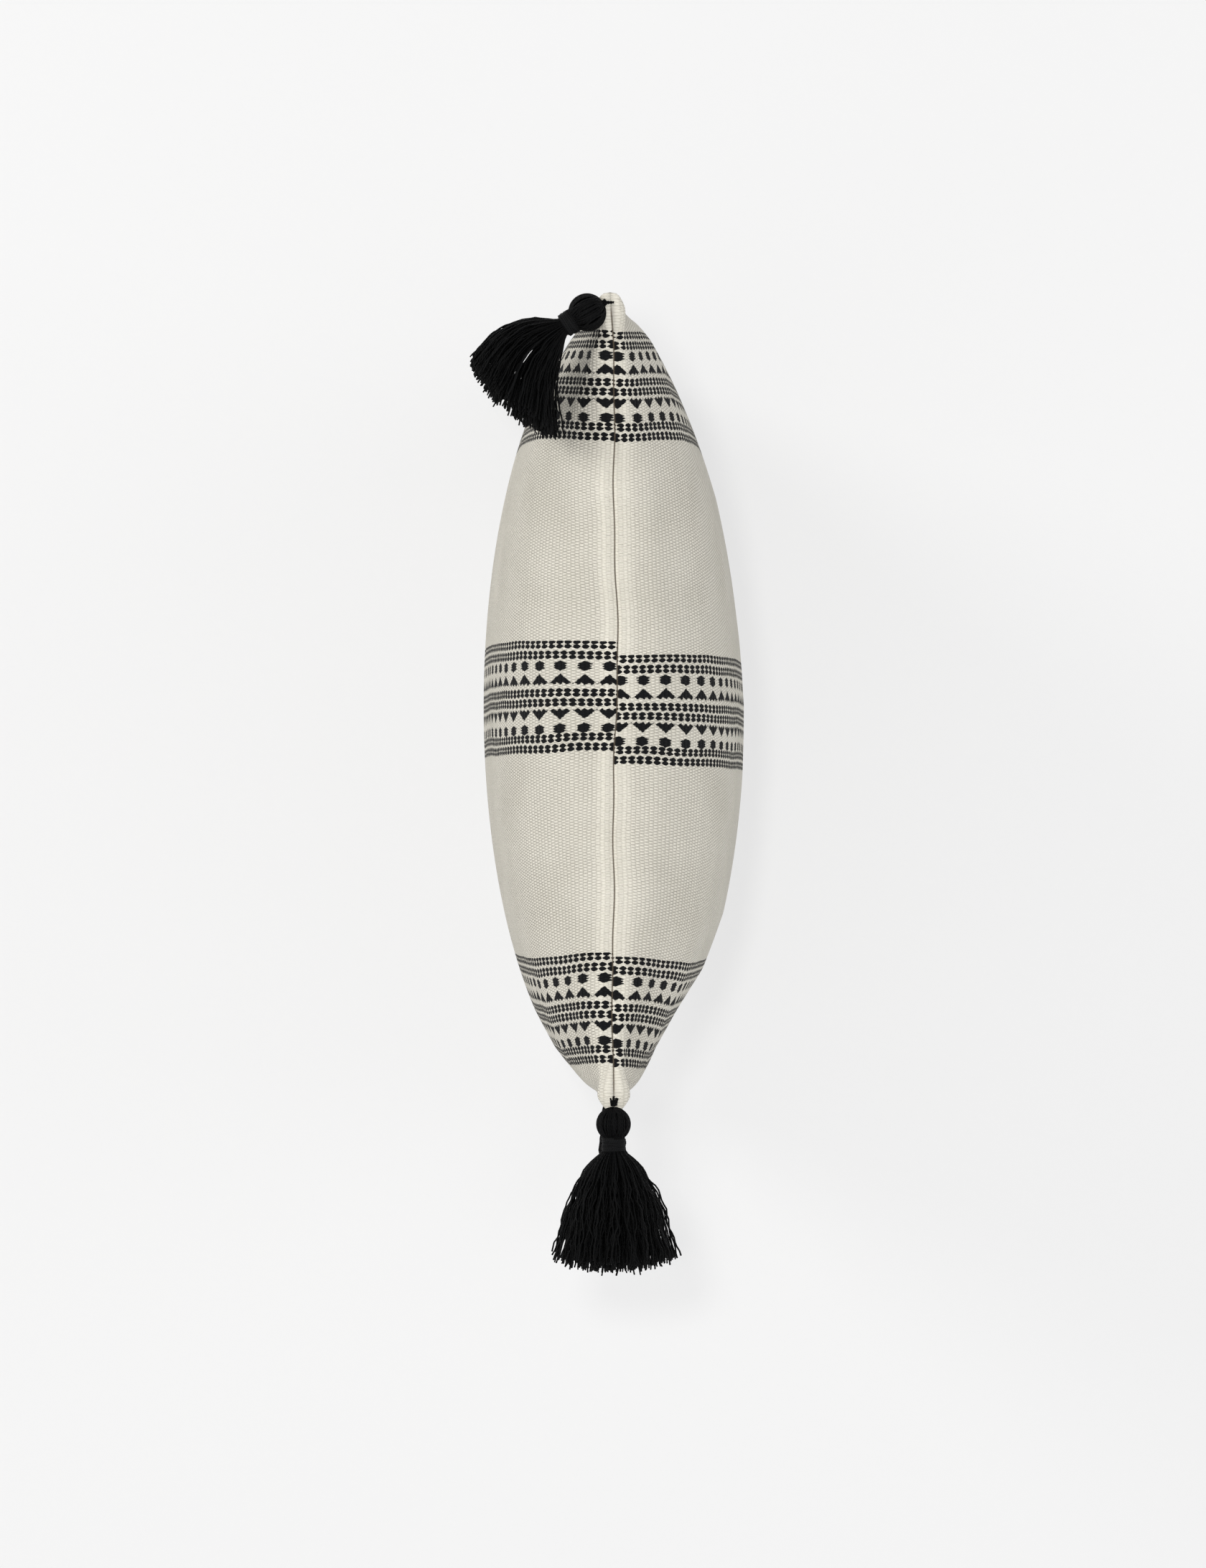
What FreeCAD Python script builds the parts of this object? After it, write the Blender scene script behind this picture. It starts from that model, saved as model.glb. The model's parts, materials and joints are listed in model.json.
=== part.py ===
"""Square throw pillow with a tassel on each corner, standing upright.

Millimetres. +Z is up, the front panel faces -Y and the back panel faces +Y. The origin is
the middle of the small flat on the back, where the pillow leans on a sofa's back rest.
The zipped cover holds a fibre insert, and its zip runs along the bottom edge.
"""

import FreeCAD
import Part
import functools
import math
import os

V = FreeCAD.Vector

# Cover. Each edge is a shallow arc, pulled in between its two corners.
CORNER_HALF = 243.0  # middle of the pillow to a corner, along X and along Z
EDGE_PULL = 14.0  # how far the middle of an edge is pulled in
FRONT_DEPTH = 82.0  # seam plane to the crown of the front panel
BACK_DEPTH = 82.0  # seam plane to the flat on the back panel
FLAT_DROP = 1.2  # what the flat takes off the crown of the back panel
CORNER_BLUNT = 5.0  # what the turned corner takes off a sharp one, along its diagonal
CLOTH = 1.2  # thickness of the woven panels
SEAM_THREAD_RADIUS = 0.3
SEAM_CORNER_GAP = 9.0  # a seam's thread stops this far short of a corner

# Insert.
INSERT_GAP = 2.2  # from the cover's face to the insert's
CASING = 0.6  # thickness of the insert's casing
FILL_CLEARANCE = 0.1
INSERT_THREAD_RADIUS = 0.3
INSERT_THREAD_GAP = 0.25  # from the slider to the insert's thread
INSERT_EDGE_GAP = 1.35  # from the middle of that thread to the insert's edge

# Zip, in the bottom edge. Heights are insets from that edge.
SLOT_HALF_LENGTH = 190.5
SLOT_HALF_WIDTH = 4.5
TAPE_HALF_LENGTH = 194.0
TAPE = 0.6  # thickness
TAPE_INNER = 2.3  # from the seam plane to the tape's edge beside the coil
TAPE_OUTER = 14.0
LAYER_GAP = 0.1  # between cloths that lie on one another
COIL_HALF_LENGTH = 187.0
COIL_INNER = 0.6
COIL_OUTER = 2.2
COIL_LOW = 0.9
COIL_HIGH = 2.5
STOP_LENGTH = 2.0
STOP_MIDDLE = 188.6
STOP_LIP = 0.1  # how far a stop stands past the coil, above and below
TAPE_THREAD_Y = 4.7
TAPE_THREAD_RADIUS = 0.25

# Slider and pull. The slider rests at the closed end of the zip.
SLIDER_REST = 182.0
SLIDER_HALF_LENGTH = 4.5
SLIDER_HALF_WIDTH = 4.0
SLIDER_PLATE = 1.0
SLIDER_COIL_GAP = 0.3
SLIDER_INNER_GAP = 0.6  # from the coil's inner face to the inner plate, where the tapes pass
SLIDER_TAPE_GAP = 0.1  # from a tape to the inner plate's side
FLANGE_WIDTH = 1.0
FLANGE_HEIGHT = 0.4
BRIDGE_HALF_LENGTH = 1.5
BRIDGE_HALF_WIDTH = 0.3
BAIL_HALF_WIDTH = 0.8
BAIL_INNER = 2.0
BAIL_OUTER = 3.0
BAIL_HOLE = 2.2  # from the outer plate to the bail's beam
BAIL_BEAM = 0.9
PIN_RADIUS = 0.5
PIN_DROP = 1.4  # from the outer plate to the middle of the pull's cross pin
PULL_THICKNESS = 0.9
PULL_ARM_INNER = 1.1
PULL_ARM_OUTER = 2.1
PULL_TAB_START = 4.2
PULL_LENGTH = 24.0
PULL_TAB_WIDTH = 5.2
PULL_HOLE_WIDTH = 2.4
PULL_HOLE_LENGTH = 9.0

# Care label, sewn in beside the zip and lying on the inside of the back panel.
LABEL_LEFT = -100.0
LABEL_WIDTH = 30.0
LABEL_FOOT = -212.0
LABEL_HEIGHT = 52.0
LABEL = 0.3  # thickness
LABEL_GAP = 0.2

# Tassels. Lengths run from the knot that a tassel hangs from.
CORD_RADIUS = 1.1
KNOT_RADIUS = 1.6
HEAD_RADIUS = 10.0
HEAD_GAP = 0.3  # between knot and head
NECK_RADIUS = 6.2
BINDING_LENGTH = 8.5
BINDING_GAP = 0.05
BINDING_THICKNESS = 1.05
SKIRT_START = 3.3  # from the end of the binding
SKIRT_LENGTH = 60.0
SKIRT_MIDDLE = 25.0  # from the skirt's start, where the bell has its middle radius
SKIRT_MIDDLE_RADIUS = 27.0
SKIRT_END_RADIUS = 37.0
CLOSE_MIDDLE_RADIUS = 11.0  # a skirt whose yarns hang close together
CLOSE_END_RADIUS = 14.0

# Where a tassel's cord leaves its corner and where its knot lies, from that corner:
# outwards along X, towards +Y, and inwards along Z.
TOP_ROOT = (0.2, 0.0, 5.5)
TOP_KNOT = (-0.5, -5.5, 5.5)
BOTTOM_ROOT = (0.6, 0.0, 8.2)
BOTTOM_KNOT = (5.0, 0.0, 3.9)
SIDE_ROOT = (-1.0, 0.0, 1.5)
SIDE_KNOT = (10.5, 0.0, 5.0)
# How far below level a tassel points. The top right one lies over the front and droops at its
# neck, and the others hang straight down. The top left one hangs beside the edge.
TOP_HEAD_FALL = 30.0
TOP_SKIRT_FALL = 57.0
STRAIGHT_DOWN = 90.0

# Worked out from the sizes above.
SEAM_Y = -BACK_DEPTH
EDGE_RADIUS = (CORNER_HALF**2 + EDGE_PULL**2) / (2 * EDGE_PULL)
EDGE_MIDDLE_Z = -(CORNER_HALF - EDGE_PULL)
ARC_CENTRE = V(0, SEAM_Y, EDGE_MIDDLE_Z - EDGE_RADIUS)
Y_AXIS = V(0, 1, 0)
Z_AXIS = V(0, 0, 1)
SEAM_THREAD_INSET = CLOTH + LAYER_GAP + SEAM_THREAD_RADIUS
BINDING_RADIUS = NECK_RADIUS + BINDING_THICKNESS
# The binding starts where the neck comes out of the head.
BINDING_START = math.sqrt(HEAD_RADIUS**2 - NECK_RADIUS**2) + BINDING_GAP

FRONT = -1
BACK = 1
SURFACE_SPANS = 12
MARGIN = 10.0  # how far a cutting block stands past what it cuts


def edge_inset(along):
    """How far an edge lies inside the line between its corners, at a distance from its middle."""
    return math.sqrt(EDGE_RADIUS**2 - along**2) - (EDGE_RADIUS - EDGE_PULL)


def bulge_point(theta, phi):
    """A point of the front's face. Both angles run from -90 to 90 degrees, edge to edge."""
    across = math.sin(theta)
    up = math.sin(phi)
    x = across * (CORNER_HALF - edge_inset(up * CORNER_HALF))
    z = up * (CORNER_HALF - edge_inset(across * CORNER_HALF))
    return V(x, -FRONT_DEPTH * math.cos(theta) * math.cos(phi), z)


def bulging_face():
    """The front's face, with the seam plane at y = 0. Every layer is this face, scaled."""
    angles = [math.pi * (n / SURFACE_SPANS - 0.5) for n in range(SURFACE_SPANS + 1)]
    surface = Part.BSplineSurface()
    surface.interpolate([[bulge_point(a, b) for b in angles] for a in angles])
    return surface.toShape()


def blunting_block(side, inset, gap):
    """The block that blunts the four corners and, on the back, leaves the flat."""
    reach = CORNER_HALF + MARGIN
    cut = 2 * CORNER_HALF - math.sqrt(2) * (CORNER_BLUNT + inset) - reach
    quarter = [(reach, -cut), (reach, cut), (cut, reach), (-cut, reach)]
    ring = quarter + [(-x, -z) for x, z in quarter]
    outline = Part.makePolygon([V(x, SEAM_Y, z) for x, z in ring + ring[:1]])
    depth = BACK_DEPTH - gap if side == BACK else FRONT_DEPTH + MARGIN
    return Part.Face(outline).extrude(V(0, side * depth, 0))


def half_pillow(side, inset, gap):
    """The half of the pillow on one side of the seam plane, smaller by an inset and a gap."""
    crown = BACK_DEPTH + FLAT_DROP if side == BACK else FRONT_DEPTH
    scale = 1 - inset / CORNER_HALF
    resize = FreeCAD.Matrix()
    resize.scale(scale, -side * (crown - gap) / FRONT_DEPTH, scale)
    resize.move(V(0, SEAM_Y, 0))
    bulge = bulging_face().transformGeometry(resize)
    base = Part.Face(Part.Wire(Part.sortEdges(bulge.Edges)[0]))
    shell = Part.makeShell([bulge, base])
    shell.sewShape()
    solid = Part.makeSolid(shell)
    if solid.Volume < 0:
        solid.reverse()
    return solid.common(blunting_block(side, inset, gap))


def tape_reach(side, y, x):
    """The inset of a zip tape's inner face at a distance from the seam plane and the middle."""
    inset = CLOTH + LAYER_GAP + TAPE
    foot = V(x, SEAM_Y + side * y, -CORNER_HALF - MARGIN)
    column = Part.makeLine(foot, foot + V(0, 0, CORNER_HALF))
    inside = half_pillow(side, inset, inset).common(column)
    return inside.BoundBox.ZMin + CORNER_HALF - edge_inset(x)


@functools.cache
def slider_inner_low():
    """The inset of the slider's inner plate, past the coil and both tapes."""
    end = SLIDER_REST + SLIDER_HALF_LENGTH
    past_tapes = max(tape_reach(side, SLIDER_HALF_WIDTH, end) for side in (FRONT, BACK))
    return max(COIL_HIGH + SLIDER_INNER_GAP, past_tapes + SLIDER_TAPE_GAP)


def insert_thread_inset():
    """The inset of the insert's thread, past the slider."""
    return slider_inner_low() + SLIDER_PLATE + INSERT_THREAD_GAP + INSERT_THREAD_RADIUS


def insert_inset():
    """How far the insert's edge lies inside the cover's edge."""
    return insert_thread_inset() + INSERT_EDGE_GAP


def layer(side, outer, inner):
    """A skin of one half, between two (inset, gap) pairs."""
    return half_pillow(side, *outer).cut(half_pillow(side, *inner))


def block(low, high):
    """A box between two corners, with Y counted from the seam plane."""
    size = [b - a for a, b in zip(low, high)]
    return Part.makeBox(*size, V(low[0], low[1] + SEAM_Y, low[2]))


def zip_block(x, y, inset):
    """A box at the middle of the bottom edge, from three (low, high) pairs."""
    z = [EDGE_MIDDLE_Z + value for value in inset]
    return block((x[0], y[0], z[0]), (x[1], y[1], z[1]))


def along_edge(shape, x):
    """Carries a shape from the middle of the bottom edge along it, to a place x from there."""
    moved = shape.copy()
    moved.rotate(ARC_CENTRE, Y_AXIS, math.degrees(math.asin(x / EDGE_RADIUS)))
    return moved


def edge_run(face, start, end):
    """Sweeps a flat section, drawn at the middle of the bottom edge, along that edge."""
    turn = math.degrees(math.asin(end / EDGE_RADIUS) - math.asin(start / EDGE_RADIUS))
    return along_edge(face, start).revolve(ARC_CENTRE, Y_AXIS, turn)


def rectangle(y, inset):
    """A rectangular section at the middle of the bottom edge, from two (low, high) pairs."""
    z = [EDGE_MIDDLE_Z + value for value in inset]
    corners = [(y[0], z[0]), (y[1], z[0]), (y[1], z[1]), (y[0], z[1]), (y[0], z[0])]
    return Part.Face(Part.makePolygon([V(0, SEAM_Y + a, b) for a, b in corners]))


def disc(y, inset, radius):
    """A round section at the middle of the bottom edge."""
    centre = V(0, SEAM_Y + y, EDGE_MIDDLE_Z + inset)
    return Part.Face(Part.Wire(Part.makeCircle(radius, centre, V(1, 0, 0))))


def on_side(shape, quarter_turns):
    """Turns a run on the bottom edge round to another edge."""
    turned = shape.copy()
    turned.rotate(V(0, SEAM_Y, 0), Y_AXIS, 90 * quarter_turns)
    return turned


def zip_slot():
    """The room that the two panels leave for the zip."""
    low = (-SLOT_HALF_LENGTH, -SLOT_HALF_WIDTH, -CORNER_HALF - MARGIN)
    high = (SLOT_HALF_LENGTH, SLOT_HALF_WIDTH, EDGE_MIDDLE_Z + SLOT_HALF_WIDTH)
    return block(low, high)


def panel(side):
    """A woven panel, with its hem turned in along the zip."""
    return layer(side, (0, 0), (CLOTH, CLOTH)).cut(zip_slot())


def casing(side):
    """Half of the insert's casing."""
    inner = (insert_inset() + CASING, INSERT_GAP + CASING)
    return layer(side, (insert_inset(), INSERT_GAP), inner)


def fill():
    """The fibre, which fills the casing."""
    inset = insert_inset() + CASING + FILL_CLEARANCE
    gap = INSERT_GAP + CASING + FILL_CLEARANCE
    return half_pillow(FRONT, inset, gap).fuse(half_pillow(BACK, inset, gap))


def cover_seam_thread():
    """The thread of the two side seams and the top seam, a run on each."""
    end = CORNER_HALF - SEAM_CORNER_GAP
    run = edge_run(disc(0, SEAM_THREAD_INSET, SEAM_THREAD_RADIUS), -end, end)
    return Part.makeCompound([on_side(run, turns) for turns in (1, 2, 3)])


def zip_end_thread():
    """The short seams that close the bottom edge past both ends of the zip."""
    section = disc(0, SEAM_THREAD_INSET, SEAM_THREAD_RADIUS)
    start = TAPE_HALF_LENGTH + SEAM_THREAD_INSET
    end = CORNER_HALF - SEAM_CORNER_GAP
    runs = [edge_run(section, start, end), edge_run(section, -end, -start)]
    return Part.makeCompound(runs)


def insert_thread():
    """The overlocked edge of the insert, a run on each side."""
    end = CORNER_HALF - insert_inset() - SEAM_CORNER_GAP
    run = edge_run(disc(0, insert_thread_inset(), INSERT_THREAD_RADIUS), -end, end)
    return Part.makeCompound([on_side(run, turns) for turns in range(4)])


def tape(side):
    """A zip tape, which lies against the inside of its panel."""
    outer = CLOTH + LAYER_GAP
    sheet = layer(side, (outer, outer), (outer + TAPE, outer + TAPE))
    near = sorted((side * TAPE_INNER, side * TAPE_OUTER))
    low = (-TAPE_HALF_LENGTH, near[0], -CORNER_HALF)
    high = (TAPE_HALF_LENGTH, near[1], EDGE_MIDDLE_Z + TAPE_OUTER)
    return sheet.common(block(low, high))


def tape_thread():
    """The two rows of stitching that hold the tapes to the hems."""
    runs = []
    far_side = TAPE_THREAD_Y + TAPE_THREAD_RADIUS
    for side in (FRONT, BACK):
        tape_face = tape_reach(side, far_side, COIL_HALF_LENGTH)
        inset = tape_face + LAYER_GAP + TAPE_THREAD_RADIUS
        section = disc(side * TAPE_THREAD_Y, inset, TAPE_THREAD_RADIUS)
        runs.append(edge_run(section, -COIL_HALF_LENGTH, COIL_HALF_LENGTH))
    return Part.makeCompound(runs)


def coil(side):
    """One side of the zip's coil."""
    y = sorted((side * COIL_INNER, side * COIL_OUTER))
    return edge_run(rectangle(y, (COIL_LOW, COIL_HIGH)), -COIL_HALF_LENGTH, COIL_HALF_LENGTH)


def stop(y, x):
    """A crimped metal stop."""
    half = STOP_LENGTH / 2
    inset = (COIL_LOW - STOP_LIP, COIL_HIGH + STOP_LIP)
    return along_edge(zip_block((-half, half), y, inset), x)


def top_stops():
    """The two stops at the closed end, one on each tape."""
    pair = [sorted((side * COIL_INNER, side * COIL_OUTER)) for side in (FRONT, BACK)]
    return Part.makeCompound([stop(y, -STOP_MIDDLE) for y in pair])


def slider_faces():
    """The inset of the slider's outer plate, at its outer face and its coil face."""
    coil_face = COIL_LOW - SLIDER_COIL_GAP
    return coil_face - SLIDER_PLATE, coil_face


def slider():
    """Two plates round the coil, the bridge between its rows, and the bail for the pull."""
    outer_face, coil_face = slider_faces()
    inner_low = slider_inner_low()
    length = (-SLIDER_HALF_LENGTH, SLIDER_HALF_LENGTH)
    width = (-SLIDER_HALF_WIDTH, SLIDER_HALF_WIDTH)
    bail = (-BAIL_HALF_WIDTH, BAIL_HALF_WIDTH)
    bridge_y = (-BRIDGE_HALF_WIDTH, BRIDGE_HALF_WIDTH)
    bridge_x = (-BRIDGE_HALF_LENGTH, BRIDGE_HALF_LENGTH)
    beam = outer_face - BAIL_HOLE
    pieces = [
        zip_block(length, width, (inner_low, inner_low + SLIDER_PLATE)),
        zip_block(bridge_x, bridge_y, (coil_face, inner_low)),
        zip_block((-BAIL_OUTER, BAIL_OUTER), bail, (beam - BAIL_BEAM, beam)),
    ]
    for side in (FRONT, BACK):
        flange = sorted((side * (SLIDER_HALF_WIDTH - FLANGE_WIDTH), side * SLIDER_HALF_WIDTH))
        pieces.append(zip_block(length, flange, (coil_face, coil_face + FLANGE_HEIGHT)))
        post = sorted((side * BAIL_INNER, side * BAIL_OUTER))
        pieces.append(zip_block(post, bail, (beam, outer_face)))
    body = zip_block(length, width, (outer_face, coil_face)).fuse(pieces).removeSplitter()
    return along_edge(body, -SLIDER_REST)


def pull():
    """The pull tab, hanging from its cross pin inside the bail."""
    pin = slider_faces()[0] - PIN_DROP
    thick = (-PULL_THICKNESS / 2, PULL_THICKNESS / 2)
    tab_y = (-PULL_TAB_WIDTH / 2, PULL_TAB_WIDTH / 2)
    tab_end = pin - PULL_LENGTH
    hole_y = (-PULL_HOLE_WIDTH / 2, PULL_HOLE_WIDTH / 2)
    hole_low = tab_end + PULL_HOLE_WIDTH
    start = V(0, SEAM_Y - PULL_ARM_INNER, EDGE_MIDDLE_Z + pin)
    body = Part.makeCylinder(PIN_RADIUS, 2 * PULL_ARM_INNER, start, Y_AXIS)
    for side in (FRONT, BACK):
        arm = sorted((side * PULL_ARM_INNER, side * PULL_ARM_OUTER))
        body = body.fuse(zip_block(thick, arm, (pin - PULL_TAB_START, pin + PIN_RADIUS)))
    body = body.fuse(zip_block(thick, tab_y, (tab_end, pin - PULL_TAB_START)))
    body = body.cut(zip_block(thick, hole_y, (hole_low, hole_low + PULL_HOLE_LENGTH)))
    return along_edge(body.removeSplitter(), -SLIDER_REST)


def care_label():
    """A blank label against the inside of the back panel."""
    outer = CLOTH + LABEL_GAP
    sheet = layer(BACK, (outer, outer), (outer + LABEL, outer + LABEL))
    low = (LABEL_LEFT, 0, LABEL_FOOT)
    high = (LABEL_LEFT + LABEL_WIDTH, BACK_DEPTH, LABEL_FOOT + LABEL_HEIGHT)
    return sheet.common(block(low, high))


def at_corner(across, up, offset):
    """A point given from a corner: outwards, towards +Y, and inwards along Z."""
    x = across * (CORNER_HALF + offset[0])
    return V(x, SEAM_Y + offset[1], up * (CORNER_HALF - offset[2]))


def falling(degrees):
    """The direction that points to the front and this far below level."""
    angle = math.radians(degrees)
    return V(0, -math.cos(angle), -math.sin(angle))


def turned(profile, start, direction):
    """Turns a profile, drawn out from the Z axis, into a solid lying along a direction."""
    ends = [profile[-1].Vertexes[-1].Point, profile[0].Vertexes[0].Point]
    outline = Part.Wire(profile + [Part.makeLine(*ends)])
    solid = Part.Face(outline).revolve(V(0, 0, 0), Z_AXIS, 360)
    solid.Placement = FreeCAD.Placement(start, FreeCAD.Rotation(Z_AXIS, direction))
    return solid


def tassel_loop(root, knot):
    """The cord from the corner, with the knot that the tassel hangs from."""
    length = (knot - root).Length
    meet = length - math.sqrt(KNOT_RADIUS**2 - CORD_RADIUS**2)
    slant = CORD_RADIUS / math.sqrt(2)
    end = Part.Arc(V(0, 0, -CORD_RADIUS), V(slant, 0, -slant), V(CORD_RADIUS, 0, 0)).toShape()
    side = Part.makeLine(V(CORD_RADIUS, 0, 0), V(CORD_RADIUS, 0, meet))
    top = V(0, 0, length + KNOT_RADIUS)
    ball = Part.Arc(V(CORD_RADIUS, 0, meet), V(KNOT_RADIUS, 0, length), top).toShape()
    return turned([end, side, ball], root, knot - root)


def skirt(start, direction, middle_radius, end_radius):
    """The loose ends of the yarn: a bell, wide at its foot."""
    middle = V(middle_radius, 0, SKIRT_MIDDLE)
    foot = V(end_radius, 0, SKIRT_LENGTH)
    head = Part.makeLine(V(0, 0, 0), V(NECK_RADIUS, 0, 0))
    flare = Part.Arc(V(NECK_RADIUS, 0, 0), middle, foot).toShape()
    return turned([head, flare, Part.makeLine(foot, V(0, 0, SKIRT_LENGTH))], start, direction)


def tassel_yarn(knot, head_way, skirt_way, radii):
    """One bundle of yarn: folded over as the head, bound at the neck, loose as the skirt."""
    head = knot + head_way * (KNOT_RADIUS + HEAD_GAP + HEAD_RADIUS)
    neck_length = BINDING_START + BINDING_LENGTH + SKIRT_START
    bend = head + head_way * neck_length
    pieces = [
        Part.makeCylinder(NECK_RADIUS, neck_length, head, head_way),
        Part.makeSphere(NECK_RADIUS, bend),
        skirt(bend, skirt_way, *radii),
    ]
    return Part.makeSphere(HEAD_RADIUS, head).fuse(pieces)


def tassel_binding(knot, head_way):
    """The yarn wound round the neck, as one sleeve."""
    start = knot + head_way * (KNOT_RADIUS + HEAD_GAP + HEAD_RADIUS + BINDING_START)
    sleeve = Part.makeCylinder(BINDING_RADIUS, BINDING_LENGTH, start, head_way)
    bore = Part.makeCylinder(NECK_RADIUS + BINDING_GAP, BINDING_LENGTH, start, head_way)
    head = knot + head_way * (KNOT_RADIUS + HEAD_GAP + HEAD_RADIUS)
    return sleeve.cut(bore).cut(Part.makeSphere(HEAD_RADIUS + BINDING_GAP, head))


def tassels():
    """Every tassel's three pieces. Left and right are as seen from the front."""
    wide = (SKIRT_MIDDLE_RADIUS, SKIRT_END_RADIUS)
    close = (CLOSE_MIDDLE_RADIUS, CLOSE_END_RADIUS)
    down = (STRAIGHT_DOWN, STRAIGHT_DOWN)
    corners = {
        "top_left": (-1, 1, SIDE_ROOT, SIDE_KNOT, down, close),
        "top_right": (1, 1, TOP_ROOT, TOP_KNOT, (TOP_HEAD_FALL, TOP_SKIRT_FALL), wide),
        "bottom_left": (-1, -1, BOTTOM_ROOT, BOTTOM_KNOT, down, close),
        "bottom_right": (1, -1, BOTTOM_ROOT, BOTTOM_KNOT, down, wide),
    }
    made = {}
    for corner, (across, up, root_place, knot_place, falls, radii) in corners.items():
        root = at_corner(across, up, root_place)
        knot = at_corner(across, up, knot_place)
        head_way, skirt_way = [falling(degrees) for degrees in falls]
        made[f"{corner}_tassel_loop"] = tassel_loop(root, knot)
        made[f"{corner}_tassel_yarn"] = tassel_yarn(knot, head_way, skirt_way, radii)
        made[f"{corner}_tassel_binding"] = tassel_binding(knot, head_way)
    return made


def pillow():
    """Every node of the pillow, by name."""
    coil_width = (-COIL_OUTER, COIL_OUTER)
    nodes = {
        "front_panel": panel(FRONT),
        "back_panel": panel(BACK),
        "cover_seam_thread": cover_seam_thread(),
        "zip_end_seam_thread": zip_end_thread(),
        "insert_casing_front": casing(FRONT),
        "insert_casing_back": casing(BACK),
        "insert_seam_thread": insert_thread(),
        "insert_fill": fill(),
        "care_label": care_label(),
        "zipper_tape_front": tape(FRONT),
        "zipper_tape_back": tape(BACK),
        "zipper_tape_thread": tape_thread(),
        "zipper_coil_front": coil(FRONT),
        "zipper_coil_back": coil(BACK),
        "zipper_top_stops": top_stops(),
        "zipper_bottom_stop": stop(coil_width, STOP_MIDDLE),
        "zipper_slider": slider(),
        "zipper_pull": pull(),
    }
    nodes.update(tassels())
    return nodes


os.makedirs("parts", exist_ok=True)
for node, shape in pillow().items():
    shape.exportStep(f"parts/{node}.step")
    box = shape.BoundBox
    print(f"{node:28s} solids {len(shape.Solids)} valid {shape.isValid()}", end=" ")
    print(f"volume {shape.Volume:12.1f} x {box.XMin:7.1f} {box.XMax:7.1f}", end=" ")
    print(f"y {box.YMin:7.1f} {box.YMax:7.1f} z {box.ZMin:7.1f} {box.ZMax:7.1f}")
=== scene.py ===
"""Looks of the square throw pillow: woven cover, zip, insert and four yarn tassels."""

import json
import math

import bpy
import numpy as np
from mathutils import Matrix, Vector


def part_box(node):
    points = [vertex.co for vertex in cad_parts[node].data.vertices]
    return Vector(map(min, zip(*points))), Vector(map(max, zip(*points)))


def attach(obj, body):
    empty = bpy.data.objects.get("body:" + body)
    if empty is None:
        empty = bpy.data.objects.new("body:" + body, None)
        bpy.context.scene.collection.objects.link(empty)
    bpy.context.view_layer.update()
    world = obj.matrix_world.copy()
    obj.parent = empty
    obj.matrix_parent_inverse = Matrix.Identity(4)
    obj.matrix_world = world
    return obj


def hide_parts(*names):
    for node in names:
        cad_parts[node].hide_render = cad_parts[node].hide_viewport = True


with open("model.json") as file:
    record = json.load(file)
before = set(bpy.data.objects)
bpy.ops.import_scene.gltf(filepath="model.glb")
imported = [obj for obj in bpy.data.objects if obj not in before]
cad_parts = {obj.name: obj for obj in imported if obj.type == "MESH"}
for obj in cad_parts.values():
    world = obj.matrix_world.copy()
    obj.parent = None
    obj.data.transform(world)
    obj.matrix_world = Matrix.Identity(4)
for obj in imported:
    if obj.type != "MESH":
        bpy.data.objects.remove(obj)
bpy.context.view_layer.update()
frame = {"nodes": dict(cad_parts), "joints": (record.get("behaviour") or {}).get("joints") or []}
rng = np.random.default_rng(11)
scene = bpy.context.scene

MM = 0.001
FRONT_LOW, FRONT_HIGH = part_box("front_panel")
BACK_LOW, BACK_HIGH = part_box("back_panel")
SEAM_Y = FRONT_HIGH.y  # the two panels meet on this plane
CORNER = FRONT_HIGH.z
CROWN = SEAM_Y - FRONT_LOW.y
BACK_CROWN = BACK_HIGH.y - SEAM_Y
FLAT_HALF = 0.256  # half the side of each panel before it is filled
EDGE_PULL = 0.014
FLAT_DROP = 0.0012
CLOTH = 0.0012
ARC_RADIUS = (CORNER**2 + EDGE_PULL**2) / (2 * EDGE_PULL)
SLOT_HALF_LENGTH = 0.1905
SLOT_HALF_WIDTH = 0.0045
JOINTS = {joint["name"]: Vector(joint["pos_m"]) for joint in frame["joints"]}


# ---------------------------------------------------------------- meshes


def smooth(low, high, value):
    """0 below low, 1 above high, and a soft step between."""
    t = np.clip((value - low) / (high - low), 0, 1)
    return t * t * (3 - 2 * t)


def unit(vectors):
    return vectors / np.maximum(np.linalg.norm(vectors, axis=-1, keepdims=True), 1e-12)


def edge_inset(along):
    """How far a pulled-in edge lies inside the straight line between its corners."""
    return np.sqrt(ARC_RADIUS**2 - along**2) - (ARC_RADIUS - EDGE_PULL)


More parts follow.
